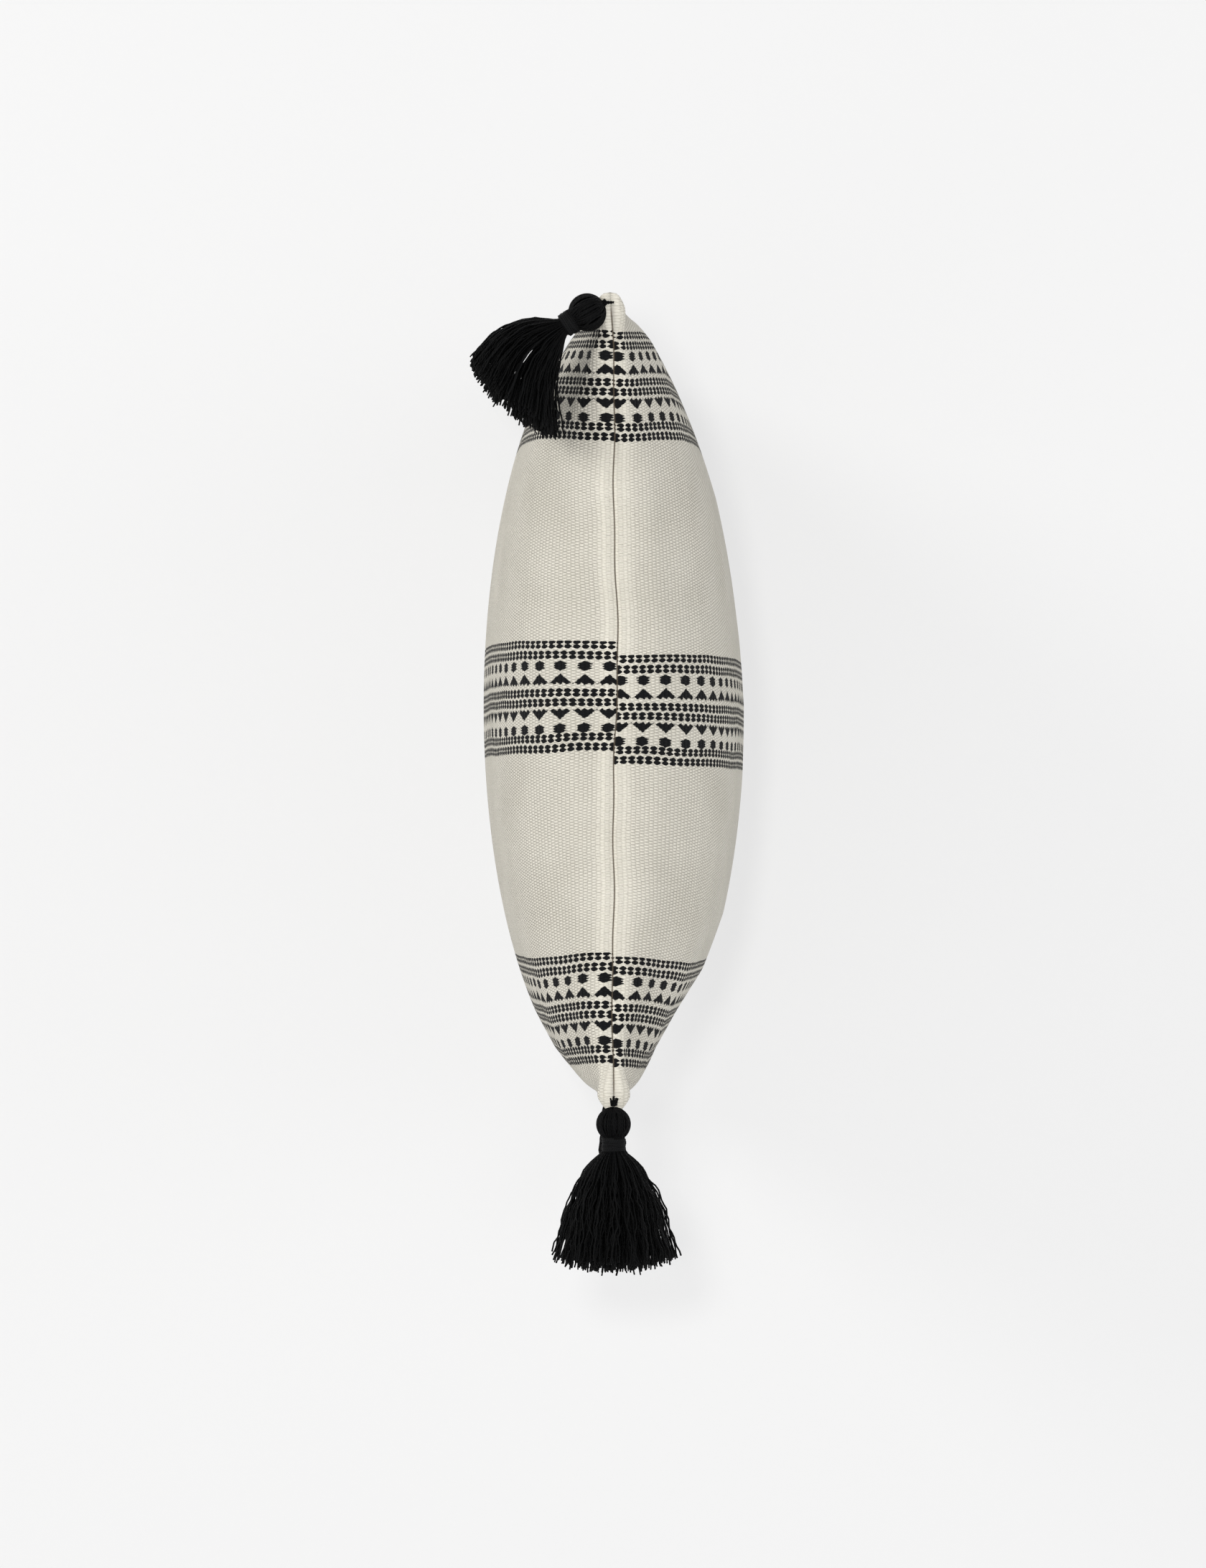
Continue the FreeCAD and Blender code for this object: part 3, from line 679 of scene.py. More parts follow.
def shaped_panel(coarse, side):
    """A panel's outer face: fitted to the frame, with its blunt corners, seam groove and
    hollows. side is -1 for the front and 1 for the back."""
    points = resampled(coarse, ruler)
    points = resampled(points.transpose(1, 0, 2), ruler).transpose(1, 0, 2)
    x, depth, z = points[..., 0], np.abs(points[..., 1]), points[..., 2]
    for _ in range(3):
        x = x * ((CORNER - edge_inset(np.clip(z[-1], -CORNER, CORNER))) / np.abs(x[-1]))[None, :]
        z = z * ((CORNER - edge_inset(np.clip(x[:, -1], -CORNER, CORNER))) / np.abs(z[:, -1]))[:, None]
    crown = CROWN if side < 0 else BACK_CROWN + FLAT_DROP
    depth = depth * crown / depth.max()
    depth = depth * np.interp(FROM_SIDE, FULLER_FROM, FULLER_SHARE)
    if side > 0:
        over = depth - (BACK_CROWN - FLAT_SOFTNESS)
        eased = FLAT_SOFTNESS * np.exp(-np.clip(over, 0, 1) / FLAT_SOFTNESS)
        depth = np.where(over > 0, BACK_CROWN - eased, depth)
    share = np.interp(z, HEIGHTS, FRONT_SHARES if side < 0 else BACK_SHARES)
    depth = depth * (1 + (share - 1) * smooth(0.0, 0.012, FROM_EDGE))
    # corners: the turned seam allowance fills each one to a blunt nose
    near = 1 - smooth(0.010, 0.034, FROM_CORNER)
    reach = np.sqrt(np.clip(1 - (1 - np.clip(FROM_EDGE / NOSE, 0, 1)) ** 2, 0, 1))
    depth = np.sqrt(depth**2 + (near * NOSE * reach) ** 2)
    z = z + np.sign(z) * TIP_REACH * (1 - smooth(0.0, 0.014, FROM_CORNER))
    points = np.stack([x, SEAM_Y + side * depth, z], -1)
    # the seam wanders a little, away from the zip
    wander = np.sin(FLAT_V / 0.083 + 1.1) + 0.55 * np.sin(FLAT_V / 0.027 + 0.4)
    wander += 0.22 * np.sin(FLAT_V / 0.0091 + 2.0)
    wander *= SEAM_WANDER * smooth(-0.245, -0.15, FLAT_V)
    wander += TOP_WANDER * np.sin(FLAT_U / 0.041) * smooth(0.1, 0.2, FLAT_V)
    points[..., 1] += wander * (1 - smooth(0.0, 0.05, FROM_EDGE))
    # groove, shoulders and hollows
    out = normals(points, side)
    at_seam = np.clip(FROM_EDGE / GROOVE_HALF_WIDTH, 0, 1)
    out[..., 1] *= at_seam
    out = unit(out)
    inward = seam_distance(points) / MM
    lift = -1.25 * np.exp(-((inward / 1.15) ** 2)) + 0.62 * np.exp(-(((inward - 4.6) / 3.0) ** 2))
    ridge = np.exp(-(((inward - 3.6) / 2.3) ** 4)) * (1 - smooth(0.03, 0.06, FROM_CORNER))
    lift += 0.7 * ridge * smooth(0.004, 0.012, FROM_CORNER)
    lift *= smooth(0.004, 0.030, FROM_CORNER) * 0.9 + 0.1
    points += out * (lift * MM + dimples() * at_seam)[..., None]
    unslotted = points.copy()
    # zip opening in the bottom edge
    slot_ends = SLOT_HALF_LENGTH - 2 * MM, SLOT_HALF_LENGTH + 2 * MM
    slot = 1 - smooth(*slot_ends, np.abs(points[..., 0]))
    slot = slot * (FLAT_V < -FLAT_HALF * 0.5)
    off_seam = np.abs(points[..., 1] - SEAM_Y)
    inside = np.clip(SLOT_HALF_WIDTH - off_seam, 0, None) * slot
    points[..., 1] += side * inside
    points[..., 2] += inside / SLOT_HALF_WIDTH * SLOT_RISE
    points[..., 1] += side * SEAM_GAP * (1 - smooth(0.0, 0.002, FROM_EDGE))
    return points, unslotted


def sheet_faces(columns, rows, side):
    """Faces of a closed sheet between two grids of points, the inner one after the outer."""
    ids = np.arange(columns * rows).reshape(columns, rows)
    quad = np.stack([ids[:-1, :-1], ids[1:, :-1], ids[1:, 1:], ids[:-1, 1:]], -1).reshape(-1, 4)
    ring = np.concatenate([ids[:-1, 0], ids[-1, :-1], ids[:0:-1, -1], ids[0, :0:-1]])
    far = ring + columns * rows
    rim = np.stack([ring, far, np.roll(far, -1), np.roll(ring, -1)], -1)
    faces = np.concatenate([quad, quad[:, ::-1] + columns * rows, rim])
    return faces[:, ::-1] if side > 0 else faces


def doubled(first, second):
    """Flat coordinates in millimetres, for the outer and then the inner face of a sheet."""
    flat = np.stack([first, second], -1).reshape(-1, 2) / MM
    return np.concatenate([flat, flat])


def shell(name, outer, inner, material, side):
    """A closed sheet between two whole panels' grids."""
    size = outer.shape[0]
    faces = sheet_faces(size, size, side)
    step = (FINE - 1) // (size - 1)
    flat = doubled(FLAT_U[::step, ::step], FLAT_V[::step, ::step])
    from_corner = np.maximum(FROM_SIDE, FROM_TOP)[::step, ::step]
    seam = doubled(seam_distance(outer), from_corner)
    verts = np.concatenate([outer.reshape(-1, 3), inner.reshape(-1, 3)])
    return make_piece(name, verts, [faces], flat[faces.ravel()], material, seam[faces.ravel()])


def deeper(points, distance):
    """A panel's points drawn in towards the middle of the pillow, and a little more at its
    corners, where the seam allowance lies between the cover and what it holds."""
    share = 1 - distance / np.array([CORNER, CROWN, CORNER])
    middle = np.array([0, SEAM_Y, 0])
    moved = middle + (points - middle) * share
    pinch = 1 - distance / (20 * MM) * (1 - smooth(0.02, 0.07, FROM_CORNER))
    moved[..., 1] = SEAM_Y + (moved[..., 1] - SEAM_Y) * pinch
    return moved


def between(low, high):
    """The points of the ruler that lie between two places on the flat cloth."""
    inside = np.flatnonzero((ruler * FLAT_HALF >= low) & (ruler * FLAT_HALF <= high))
    return slice(inside[0], inside[-1] + 1)


def lining(node, points, side, pick, depths, material):
    """A strip that lies against the inside of a panel, over part of its grid."""
    outer, inner = [deeper(points, depth)[pick] for depth in depths]
    faces = sheet_faces(*outer.shape[:2], side)
    flat = doubled(FLAT_U[pick], FLAT_V[pick])
    verts = np.concatenate([outer.reshape(-1, 3), inner.reshape(-1, 3)])
    piece = make_piece(f"{node}_cloth", verts, [faces], flat[faces.ravel()], material)
    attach(piece, "cover")
    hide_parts(node)


# Depths of the layers below the cover's outer face.
TAPE_DEPTHS = (1.3 * MM, 1.9 * MM)
LABEL_DEPTHS = (1.4 * MM, 1.7 * MM)
CASING_DEPTHS = (6.0 * MM, 6.6 * MM)
FILL_DEPTH = 7.2 * MM
# Where the zip tapes and the label lie on the flat cloth.
TAPE_HALF_LENGTH = 0.2044
TAPE_NEAR, TAPE_FAR = 2.3 * MM, 14.5 * MM
LABEL_LEFT, LABEL_RIGHT = -0.1055, -0.0735
LABEL_BOTTOM, LABEL_TOP = -0.2245, -0.169

front_coarse, back_coarse = settled_panels()
panels = {}
for side, coarse, material, cad_panel, cad_casing in (
    (-1, front_coarse, front_cotton, "front_panel", "insert_casing_front"),
    (1, back_coarse, back_cotton, "back_panel", "insert_casing_back"),
):
    outer, unslotted = shaped_panel(coarse, side)
    panels[side] = outer
    word = "front" if side < 0 else "back"
    along_zip = between(-TAPE_HALF_LENGTH, TAPE_HALF_LENGTH)
    zip_rows = between(-FLAT_HALF + TAPE_NEAR, -FLAT_HALF + TAPE_FAR)
    lining(f"zipper_tape_{word}", unslotted, side, (along_zip, zip_rows), TAPE_DEPTHS, tape)
    if side > 0:
        spot = between(LABEL_LEFT, LABEL_RIGHT), between(LABEL_BOTTOM, LABEL_TOP)
        lining("care_label", outer, side, spot, LABEL_DEPTHS, satin)
    cover = shell(f"cover_{word}", outer, deeper(outer, CLOTH), material, side)
    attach(cover, "cover")
    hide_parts(cad_panel)
    half = slice(None, None, 2)
    casing_outer, casing_inner = [deeper(outer, depth) for depth in CASING_DEPTHS]
    piece = shell(f"insert_{word}", casing_outer[half, half], casing_inner[half, half], casing, side)
    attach(piece, "cover")
    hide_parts(cad_casing)

fill_front, fill_back = [deeper(panels[side], FILL_DEPTH)[::4, ::4] for side in (-1, 1)]
filling = shell("insert_filling", fill_front, fill_back, fibre, -1)
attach(filling, "cover")
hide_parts("insert_fill")


# ---------------------------------------------------------------- stitches and zip


def seam_line():
    """Each edge's name, and the points along its seam groove."""
    front, back = panels[-1], panels[1]
    whole = slice(None)
    picks = {"left": (0, whole), "right": (-1, whole), "top": (whole, -1), "bottom": (whole, 0)}
    for edge, pick in picks.items():
        yield edge, (front[pick] + back[pick]) / 2


def dashes(line, length, gap, skip):
    """Short stretches of a line of points, each with six points."""
    travelled = np.concatenate([[0], np.cumsum(np.linalg.norm(np.diff(line, axis=0), axis=1))])
    starts = np.arange(0.006, travelled[-1] - 0.006 - length, length + gap)
    out = []
    for start in starts:
        along = np.linspace(start, start + length, 6)
        points = np.stack([np.interp(along, travelled, line[:, k]) for k in range(3)], -1)
        if not skip(points[3]):
            out.append(points)
    return np.array(out)


runs = []
for edge, line in seam_line():
    middle = np.array([0, SEAM_Y, 0])
    inward = unit(middle - line) * 0.75 * MM
    line = line + inward
    stitches = dashes(line, 2.9 * MM, 0.7 * MM,
                      lambda p: edge == "bottom" and abs(p[0]) < SLOT_HALF_LENGTH + 3 * MM)
    arch = np.sin(np.linspace(0, math.pi, 6)) * 0.28 * MM - 0.12 * MM
    stitches = stitches - unit(middle - stitches) * arch[None, :, None]
    runs.append(stitches)
stitches = np.concatenate(runs)
seam = tube_piece("seam_stitches", [tubes(stitches, np.full(stitches.shape[:2], 0.22 * MM), 6)], thread)
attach(seam, "cover")
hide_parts("cover_seam_thread")


def zip_teeth(node, way):
    """One side of the zip's coil, wound along the bottom edge."""
    low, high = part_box(node)
    pitch = 1.5 * MM
    turns = int((high.x - low.x - 0.6 * MM) / pitch)
    steps = 12
    turn = np.arange(turns * steps + 1) / steps
    x = low.x + 0.3 * MM + turn * pitch
    angle = turn * 2 * math.pi
    lie = -(CORNER - edge_inset(x)) + 1.7 * MM
    y = SEAM_Y + way * (1.4 * MM + 0.5 * MM * np.cos(angle))
    z = lie + 0.48 * MM * np.sin(angle)
    path = np.stack([x, y, z], -1)[None]
    piece = tube_piece(f"{node}_teeth", [tubes(path, np.full(path.shape[:2], 0.27 * MM), 6)], coil)
    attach(piece, "cover")
    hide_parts(node)


zip_teeth("zipper_coil_front", -1)
zip_teeth("zipper_coil_back", 1)


# ---------------------------------------------------------------- tassels


GOLDEN_ANGLE = 2.399963
KNOT_TO_HEAD = 11.9 * MM
HEAD = 10.9 * MM
HANGING_HEAD_LESS = 1.0 * MM  # a head drawn down by its own weight is slimmer
BINDING_START = 7.9 * MM
BINDING_LENGTH = 8.5 * MM
RINGS = 25
STRANDS = 540
CLOSE_STRANDS = 210
# Lengths of the loose yarn, in millimetres.
FANNED_LENGTH, HANGING_LENGTH = 67.5, 71.5
SHORTEST, LONGEST = 57, 75
FANNED_CLEARANCE = 1.6 * MM
# Half the width of a hanging skirt, in millimetres, at distances below the binding.
WIDE_SKIRT = (
    (-4.4, 5.4), (0, 6.4), (5, 12.4), (8.5, 15.4), (12, 17.6), (23, 24.2), (33, 28.4),
    (38, 29.8), (50, 33.0), (60, 36.0), (76, 39.5),
)
CLOSE_SKIRT = (
    (-4.4, 5.2), (0, 6.0), (5, 7.0), (12, 7.5), (25, 8.0), (40, 9.0), (60, 10.8), (76, 12.0),
)


def disc(count):
    """Points spread over a unit disc, a little denser at its rim."""
    number = np.arange(count) + 0.5
    radius = np.sqrt(number / count) ** 0.85
    angle = number * GOLDEN_ANGLE
    return radius * np.cos(angle), radius * np.sin(angle)


def crinkled(paths, amount):
    """Adds each strand's own crinkle, none at the binding and the most at its end."""
    count, rings = paths.shape[:2]
    share = np.linspace(0, 1, rings)[None, :]
    way = unit(np.gradient(paths, axis=1))
    first = unit(np.cross(way, (0.9, 0.3, 0.2)))
    second = np.cross(way, first)
    length = share * 72
    grow = smooth(0.08, 0.4, share) * amount * MM
    for direction in (first, second):
        wobble = 0
        for pitch_low, pitch_high, weight in ((24, 44, 1.5), (11, 18, 0.75), (6.5, 9.5, 0.32)):
            pitch = rng.uniform(pitch_low, pitch_high, (count, 1))
            turn = rng.uniform(0, 2 * math.pi, (count, 1))
            size = rng.uniform(0.3, 1.0, (count, 1)) * weight
            wobble = wobble + size * np.sin(2 * math.pi * length / pitch + turn)
        paths = paths + direction * (wobble * grow)[..., None]
    return paths


def strand_radii(count, rings):
    share = np.linspace(0, 1, rings)[None, :]
    thick = rng.uniform(0.42, 0.55, (count, 1))
    radius = thick * (0.72 + 0.28 * smooth(0.05, 0.25, share))
    radius = radius * (1 + 0.10 * smooth(0.95, 1.0, share) * rng.uniform(-1, 1, (count, 1)))
    return radius * MM


def fanned(neck, up, lengths):
    """Strands of a tassel that tips over and falls under its own weight."""
    count = len(lengths)
    high, wide = disc(count)
    high = high + rng.normal(0, 0.03, count)
    wide = wide + rng.normal(0, 0.03, count)
    high = np.sign(high) * np.abs(high) ** 0.75
    start = 33 + 41 * high + rng.normal(0, 1.5, count)
    finish = 73 + 21 * high + rng.normal(0, 2.0, count)
    clump = np.floor((np.degrees(np.arctan2(high, wide)) + 180) / 15).astype(int)
    finish = finish + rng.normal(0, 1.2, 30)[clump]
    spread = 33 * wide + rng.normal(0, 2.0, count)
    distance = np.linspace(0, 1, RINGS)[None, :] * lengths[:, None] / MM
    bend = 30 + (start - 30)[:, None] * smooth(3.5, 10.0, distance)
    bend = bend + (finish - start)[:, None] * smooth(5.0, 64.0, distance)
    turn = spread[:, None] * smooth(3.5, 13.0, distance) * (1 - 0.4 * smooth(20, 70, distance))
    bend, turn = np.radians(bend), np.radians(turn)
    way = np.stack([np.sin(turn), -np.cos(turn) * np.cos(bend), -np.cos(turn) * np.sin(bend)], -1)
    step = (lengths / (RINGS - 1))[:, None, None]
    travelled = np.cumsum(way * step, axis=1) - way[:, :1] * step
    origin = neck + 5.0 * MM * (wide[:, None] * np.array([1.0, 0, 0]) - high[:, None] * up)
    return crinkled(origin[:, None] + travelled, 0.42)


def hanging(neck_end, lengths, profile):
    """Strands of a tassel that hangs straight down."""
    count = len(lengths)
    across, along = disc(count)
    across = across + rng.normal(0, 0.04, count)
    along = along + rng.normal(0, 0.04, count)
    radius = np.hypot(across, along)
    fall = lengths / MM / np.sqrt(1 + (radius * 0.52) ** 2)
    down = -4.4 + np.linspace(0, 1, RINGS)[None, :] * (fall + 4.4)[:, None]
    profile = np.array(profile)
    wide = np.interp(down, profile[:, 0], profile[:, 1]) * MM
    angle = np.arctan2(along, across)
    clump = np.floor((np.degrees(angle) + 180) / 14.5).astype(int)
    drift = rng.normal(0, 0.045, 30)[clump] + rng.normal(0, 0.03, count)
    turned = angle[:, None] + drift[:, None] * smooth(20, 70, down)
    x = neck_end[0] + radius[:, None] * np.cos(turned) * wide
    y = neck_end[1] + radius[:, None] * np.sin(turned) * wide
    z = neck_end[2] - down * MM
    return crinkled(np.stack([x, y, z], -1), 0.72)


def off_the_cloth(paths, clearance):
    """Strands that would pass into the front panel rest on it instead."""
    x, z = paths[..., 0] / CORNER, paths[..., 2] / CORNER
    within = np.clip(1 - x * x, 0, 1) * np.clip(1 - z * z, 0, 1)
    height = CROWN * np.sqrt(within) + clearance * (within > 0)
    y = np.minimum(paths[..., 1], np.where(within > 0, SEAM_Y - height, paths[..., 1]))
    return np.stack([paths[..., 0], y, paths[..., 2]], -1)


def head_strands(centre, way, first, second, head):
    """Yarn laid from the tie over the ball and down into the neck."""
    parts = []
    for count, lift, twist in ((62, 0.0, 0.09), (34, 0.38, 0.42)):
        around = (np.arange(count) + rng.uniform(-0.25, 0.25, count)) / count * 2 * math.pi
        theta = np.radians(np.linspace(7, 140, 20))[None, :]
        drift = rng.normal(0, twist, (count, 1)) * np.sin(theta * 1.1)
        turn = around[:, None] + drift
        size = head + (lift - 0.45 + rng.uniform(-0.15, 0.15, (count, 1))) * MM
        side = np.cos(turn)[..., None] * first + np.sin(turn)[..., None] * second
        over = centre + size[..., None] * (
            -np.cos(theta)[..., None] * way + np.sin(theta)[..., None] * side
        )
        tail_way = np.linspace(0.3, 3.2, 4) * MM
        tail = over[:, -1:] + tail_way[None, :, None] * way
        paths = np.concatenate([over, tail], 1)
        bulge = np.concatenate([np.sin(theta[0]) ** 0.6, np.full(4, 0.72)])
        radii = (0.26 + 0.36 * bulge)[None, :] * MM * rng.uniform(0.85, 1.1, (count, 1))
        parts.append(tubes(paths, radii, 6, 400 if lift else 300))
    return parts


def core(centre, way):
    """What the yarn of the head lies on, from the tie to inside the binding."""
    steps = np.linspace(-9.0, 17.0, 18) * MM
    ball = np.sqrt(np.clip((9.3 * MM) ** 2 - steps**2, 0, None))
    radii = np.maximum(ball, np.where(steps > 0, 5.3 * MM, 1.0 * MM))
    paths = (centre + steps[:, None] * way)[None]
    return tubes(paths, radii[None], 20, 500)


def hairs(paths, count):
    """Thin stray fibres standing off the skirt."""
    picked = rng.choice(len(paths), count, replace=False)
    out = []
    for strand in picked:
        ring = rng.integers(6, RINGS - 6)
        start = paths[strand, ring]
        way = unit(rng.normal(0, 1, 3) + [0, 0, -0.4])
        curl = unit(rng.normal(0, 1, 3))
        t = np.linspace(0, 1, 12)[:, None]
        size = rng.uniform(4, 9) * MM
        out.append(start + way * t * size + curl * size * 0.35 * np.sin(t * rng.uniform(2, 5)))
    out = np.array(out)
    return tubes(out, np.full(out.shape[:2], 0.09 * MM), 4, 520)


def wound(centre, way, first, second):
    """The binding: one thread wound round the neck, over a sleeve of the turns below."""
    turns, steps = 9.5, 26
    t = np.arange(int(turns * steps) + 1) / steps
    lean = 0.16 * MM * np.sin(t * 2.1)
    along = BINDING_START + 0.5 * MM + t / turns * (BINDING_LENGTH - 1.0 * MM) + lean
    turn = t * 2 * math.pi
    size = (6.75 + 0.12 * np.sin(t * 5.3)) * MM
    side = np.cos(turn)[:, None] * first + np.sin(turn)[:, None] * second
    path = centre + along[:, None] * way + side * size[:, None]
    cross = []
    for _ in range(7):
        begin = rng.uniform(0, 2 * math.pi)
        u = np.linspace(0, 1, 30)
        ang = begin + u * rng.uniform(2.0, 4.0)
        level = BINDING_START + (rng.uniform(0.8, 3.0) + u * rng.uniform(2.0, 4.6)) * MM
        ring = np.cos(ang)[:, None] * first + np.sin(ang)[:, None] * second
        cross.append(centre + level[:, None] * way + ring * 7.15 * MM)
    cross = np.array(cross)
    sleeve = np.linspace(BINDING_START + 0.3 * MM, BINDING_START + BINDING_LENGTH - 0.3 * MM, 8)
    sleeve_path = (centre + sleeve[:, None] * way)[None]
    return [
        tubes(path[None], np.full((1, len(path)), 0.56 * MM), 7, 0),
        tubes(cross, np.full(cross.shape[:2], 0.34 * MM), 6, 3),
        tubes(sleeve_path, np.full((1, 8), 6.6 * MM), 24, 20),
    ]


def tie(root, knot, way, first, second, hanging_down):
    """The cord that holds the tassel: two plies twisted round each other, and its knot."""
    parts = []
    reach = np.linalg.norm(knot - root)
    t = np.linspace(0, 1, 40)
    line = root + (knot - root) * t[:, None]
    along = unit(knot - root)
    a = unit(np.cross(along, (1.0, 0.2, 0.1)))
    b = np.cross(along, a)
    for half in (0, math.pi):
        turn = half + t * reach / (3.4 * MM) * 2 * math.pi
        size = (0.35 + 0.2 * t)[:, None] * MM
        path = line + (np.cos(turn)[:, None] * a + np.sin(turn)[:, None] * b) * size
        radii = (0.42 + 0.30 * t)[None] * MM
        parts.append(tubes(path[None], radii, 7, 1 if half else 2))
    u = np.linspace(0, 2 * math.pi * 2.6, 60)
    size = (1.35 + 0.2 * np.sin(u * 0.7)) * MM
    ring = np.cos(u)[:, None] * first + np.sin(u)[:, None] * second
    path = knot + ring * size[:, None] + way * (np.linspace(-0.9, 1.0, 60) * MM)[:, None]
    parts.append(tubes(path[None], np.full((1, 60), 0.62 * MM), 7, 4))
    if hanging_down:
        count = 15
        angle = rng.uniform(0, 2 * math.pi, count)
        out = 0.55 * MM + rng.uniform(0, 1.5, count) * MM
        tall = rng.uniform(1.6, 4.4, count) * MM
        t = np.linspace(0, 1, 8)
        flare = 1 + 0.7 * t**2 * rng.uniform(0, 1, (count, 1))
        side = np.cos(angle)[:, None] * first + np.sin(angle)[:, None] * second
        stubs = (
            knot + side[:, None] * (out[:, None] * flare)[..., None]
            - way * (tall[:, None] * t - 0.8 * MM)[..., None]
        )
        parts.append(tubes(stubs, np.full(stubs.shape[:2], 0.52 * MM), 6, 5))
    return parts


# How many degrees below level each head points, the skirt's shape and how many strands it has.
TASSELS = {
    "top_left": (90, CLOSE_SKIRT, CLOSE_STRANDS),
    "top_right": (30, None, STRANDS),
    "bottom_left": (90, CLOSE_SKIRT, CLOSE_STRANDS),
    "bottom_right": (90, WIDE_SKIRT, STRANDS),
}
for corner, (fall, profile, count) in TASSELS.items():
    root = np.array(JOINTS[f"{corner}_loop_swing"])
    knot = np.array(JOINTS[f"{corner}_tassel_sway"])
    fall = math.radians(fall)
    way = np.array([0, -math.cos(fall), -math.sin(fall)])
    first = np.array([1.0, 0, 0])
    second = np.cross(way, first)
    centre = knot + way * KNOT_TO_HEAD
    typical = FANNED_LENGTH if profile is None else HANGING_LENGTH
    lengths = rng.normal(typical, 1.3, count) - rng.exponential(1.0, count)
    lengths = np.clip(lengths, SHORTEST, LONGEST) * MM
    if profile is None:
        up = np.array([0, -math.sin(fall), math.cos(fall)])
        paths = fanned(centre + way * (BINDING_START + 4.1 * MM), up, lengths)
        paths = off_the_cloth(paths, FANNED_CLEARANCE)
    else:
        paths = hanging(centre + way * (BINDING_START + BINDING_LENGTH), lengths, profile)
    parts = [tubes(paths, strand_radii(count, RINGS), 6, 0)]
    head = HEAD - (0 if profile is None else HANGING_HEAD_LESS)
    parts += head_strands(centre, way, first, second, head)
    parts.append(core(centre, way))
    parts.append(hairs(paths, 12))
    straight = corner.startswith("bottom")
    pieces = (
        (tube_piece(f"{corner}_tassel_strands", parts, black), "tassel", "yarn"),
        (tube_piece(f"{corner}_tassel_wrap", wound(centre, way, first, second), bound),
         "tassel", "binding"),
        (tube_piece(f"{corner}_tassel_tie", tie(root, knot, way, first, second, straight), black),
         "loop", "loop"),
    )
    for piece, body, node in pieces:
        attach(piece, f"{corner}_{body}")
        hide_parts(f"{corner}_tassel_{node}")


# ---------------------------------------------------------------- finishes of the CAD's own parts


for node, material in (
    ("zip_end_seam_thread", thread),
    ("insert_seam_thread", thread),
    ("zipper_tape_thread", thread),
    ("zipper_top_stops", metal),
    ("zipper_bottom_stop", metal),
    ("zipper_slider", metal),
    ("zipper_pull", metal),
):
    mesh = frame["nodes"][node].data
    mesh.materials.clear()
    mesh.materials.append(material)
    if not mesh.uv_layers:
        mesh.uv_layers.new(name="lay")
    else:
        mesh.uv_layers[0].name = "lay"


# ---------------------------------------------------------------- stage, light and camera


def plane(name, corners, material):
    mesh = bpy.data.meshes.new(name)
    mesh.from_pydata(corners, [], [(0, 1, 2, 3)])
    mesh.materials.append(material)
    piece = bpy.data.objects.new(name, mesh)
    scene.collection.objects.link(piece)
    return piece


pale = Finish("studio_paper", Roughness=0.9, Base_Color=(0.86, 0.86, 0.865, 1.0)).material
FLOOR = -0.66
WALL = -0.29
plane("floor", [(-6, -6, FLOOR), (6, -6, FLOOR), (6, 6, FLOOR), (-6, 6, FLOOR)], pale)

# the backdrop shows its front only, so that the far side can be looked at too
paper = Finish(
    "backdrop_paper", Roughness=0.95, Base_Color=(0.30, 0.30, 0.30, 1.0),
    Specular_IOR_Level=0.0, Emission_Color=(1.0, 1.0, 1.0, 1.0), Emission_Strength=0.585,
)
nodes, links = paper.tree.nodes, paper.tree.links
geometry = nodes.new("ShaderNodeNewGeometry")
clear = nodes.new("ShaderNodeBsdfTransparent")
mix = nodes.new("ShaderNodeMixShader")
output = nodes["Material Output"]
links.new(geometry.outputs["Backfacing"], mix.inputs[0])
links.new(paper.shader.outputs[0], mix.inputs[1])
links.new(clear.outputs[0], mix.inputs[2])
links.new(mix.outputs[0], output.inputs["Surface"])
backdrop = plane(
    "backdrop",
    [(WALL, -1.6, FLOOR), (WALL, 1.5, FLOOR), (WALL, 1.5, 1.6), (WALL, -1.6, 1.6)],
    paper.material,
)
backdrop.visible_shadow = False
backdrop.visible_diffuse = False

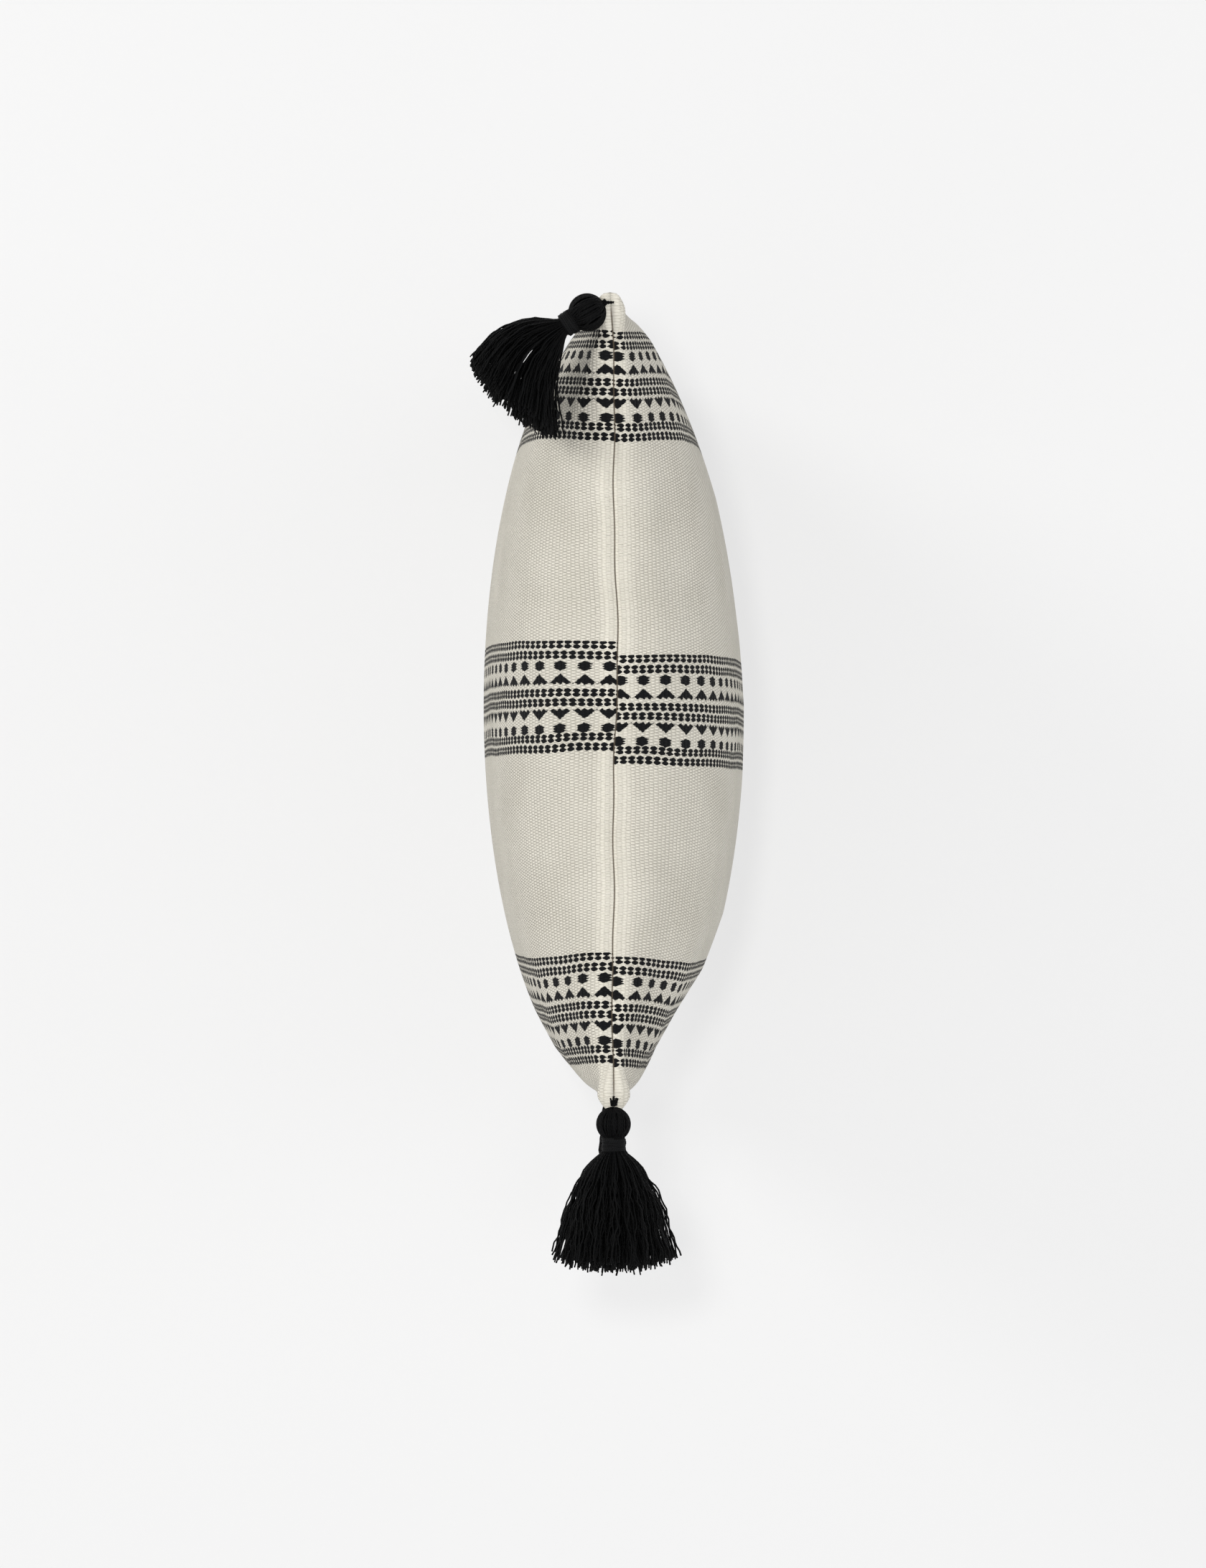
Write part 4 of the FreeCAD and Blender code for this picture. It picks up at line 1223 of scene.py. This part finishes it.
world = bpy.data.worlds.new("studio")
scene.world = world
world.use_nodes = True
nodes, links = world.node_tree.nodes, world.node_tree.links
sky = nodes["Background"]
sky.inputs[0].default_value = (0.97, 0.98, 1.0, 1.0)
sky.inputs[1].default_value = 0.54
seen = nodes.new("ShaderNodeBackground")
seen.inputs[0].default_value = (0.896, 0.896, 0.9, 1.0)
path = nodes.new("ShaderNodeLightPath")
choose = nodes.new("ShaderNodeMixShader")
links.new(path.outputs["Is Camera Ray"], choose.inputs[0])
links.new(sky.outputs[0], choose.inputs[1])
links.new(seen.outputs[0], choose.inputs[2])
links.new(choose.outputs[0], nodes["World Output"].inputs[0])


def softbox(name, place, aim, size, power, colour=(1, 1, 1)):
    lamp = bpy.data.lights.new(name, "AREA")
    lamp.shape = "DISK"
    lamp.size = size
    lamp.energy = power
    lamp.color = colour
    light = bpy.data.objects.new(name, lamp)
    light.location = place
    light.rotation_mode = "QUATERNION"
    light.rotation_quaternion = (Vector(aim) - Vector(place)).to_track_quat("-Z", "Y")
    scene.collection.objects.link(light)


softbox("key", (1.7, -2.3, 1.3), (0, -0.05, 0), 1.2, 30, (1.0, 0.985, 0.955))
softbox("front", (3.2, -0.22, 0.08), (0, -0.08, 0), 0.16, 29, (1.0, 0.99, 0.97))
softbox("fill", (1.3, 2.5, 0.5), (0, 0, 0), 2.0, 17)
softbox("far", (-2.4, -0.6, 1.8), (0, 0, 0), 1.8, 26)

CAMERA_DISTANCE = 3.4
CAMERA_ASIDE = -0.0064
CAMERA_HEIGHT = -0.049
LENS = 131.2
scene.view_settings.view_transform = "Standard"
camera = bpy.data.objects.new("camera", bpy.data.cameras.new("camera"))
scene.collection.objects.link(camera)
camera.data.sensor_width = 36
camera.data.lens = LENS
camera.data.clip_end = 50
camera.location = (CORNER + CAMERA_DISTANCE, SEAM_Y + CAMERA_ASIDE, CAMERA_HEIGHT)
camera.rotation_mode = "QUATERNION"
camera.rotation_quaternion = Vector((-1, 0, 0)).to_track_quat("-Z", "Y")
scene.camera = camera
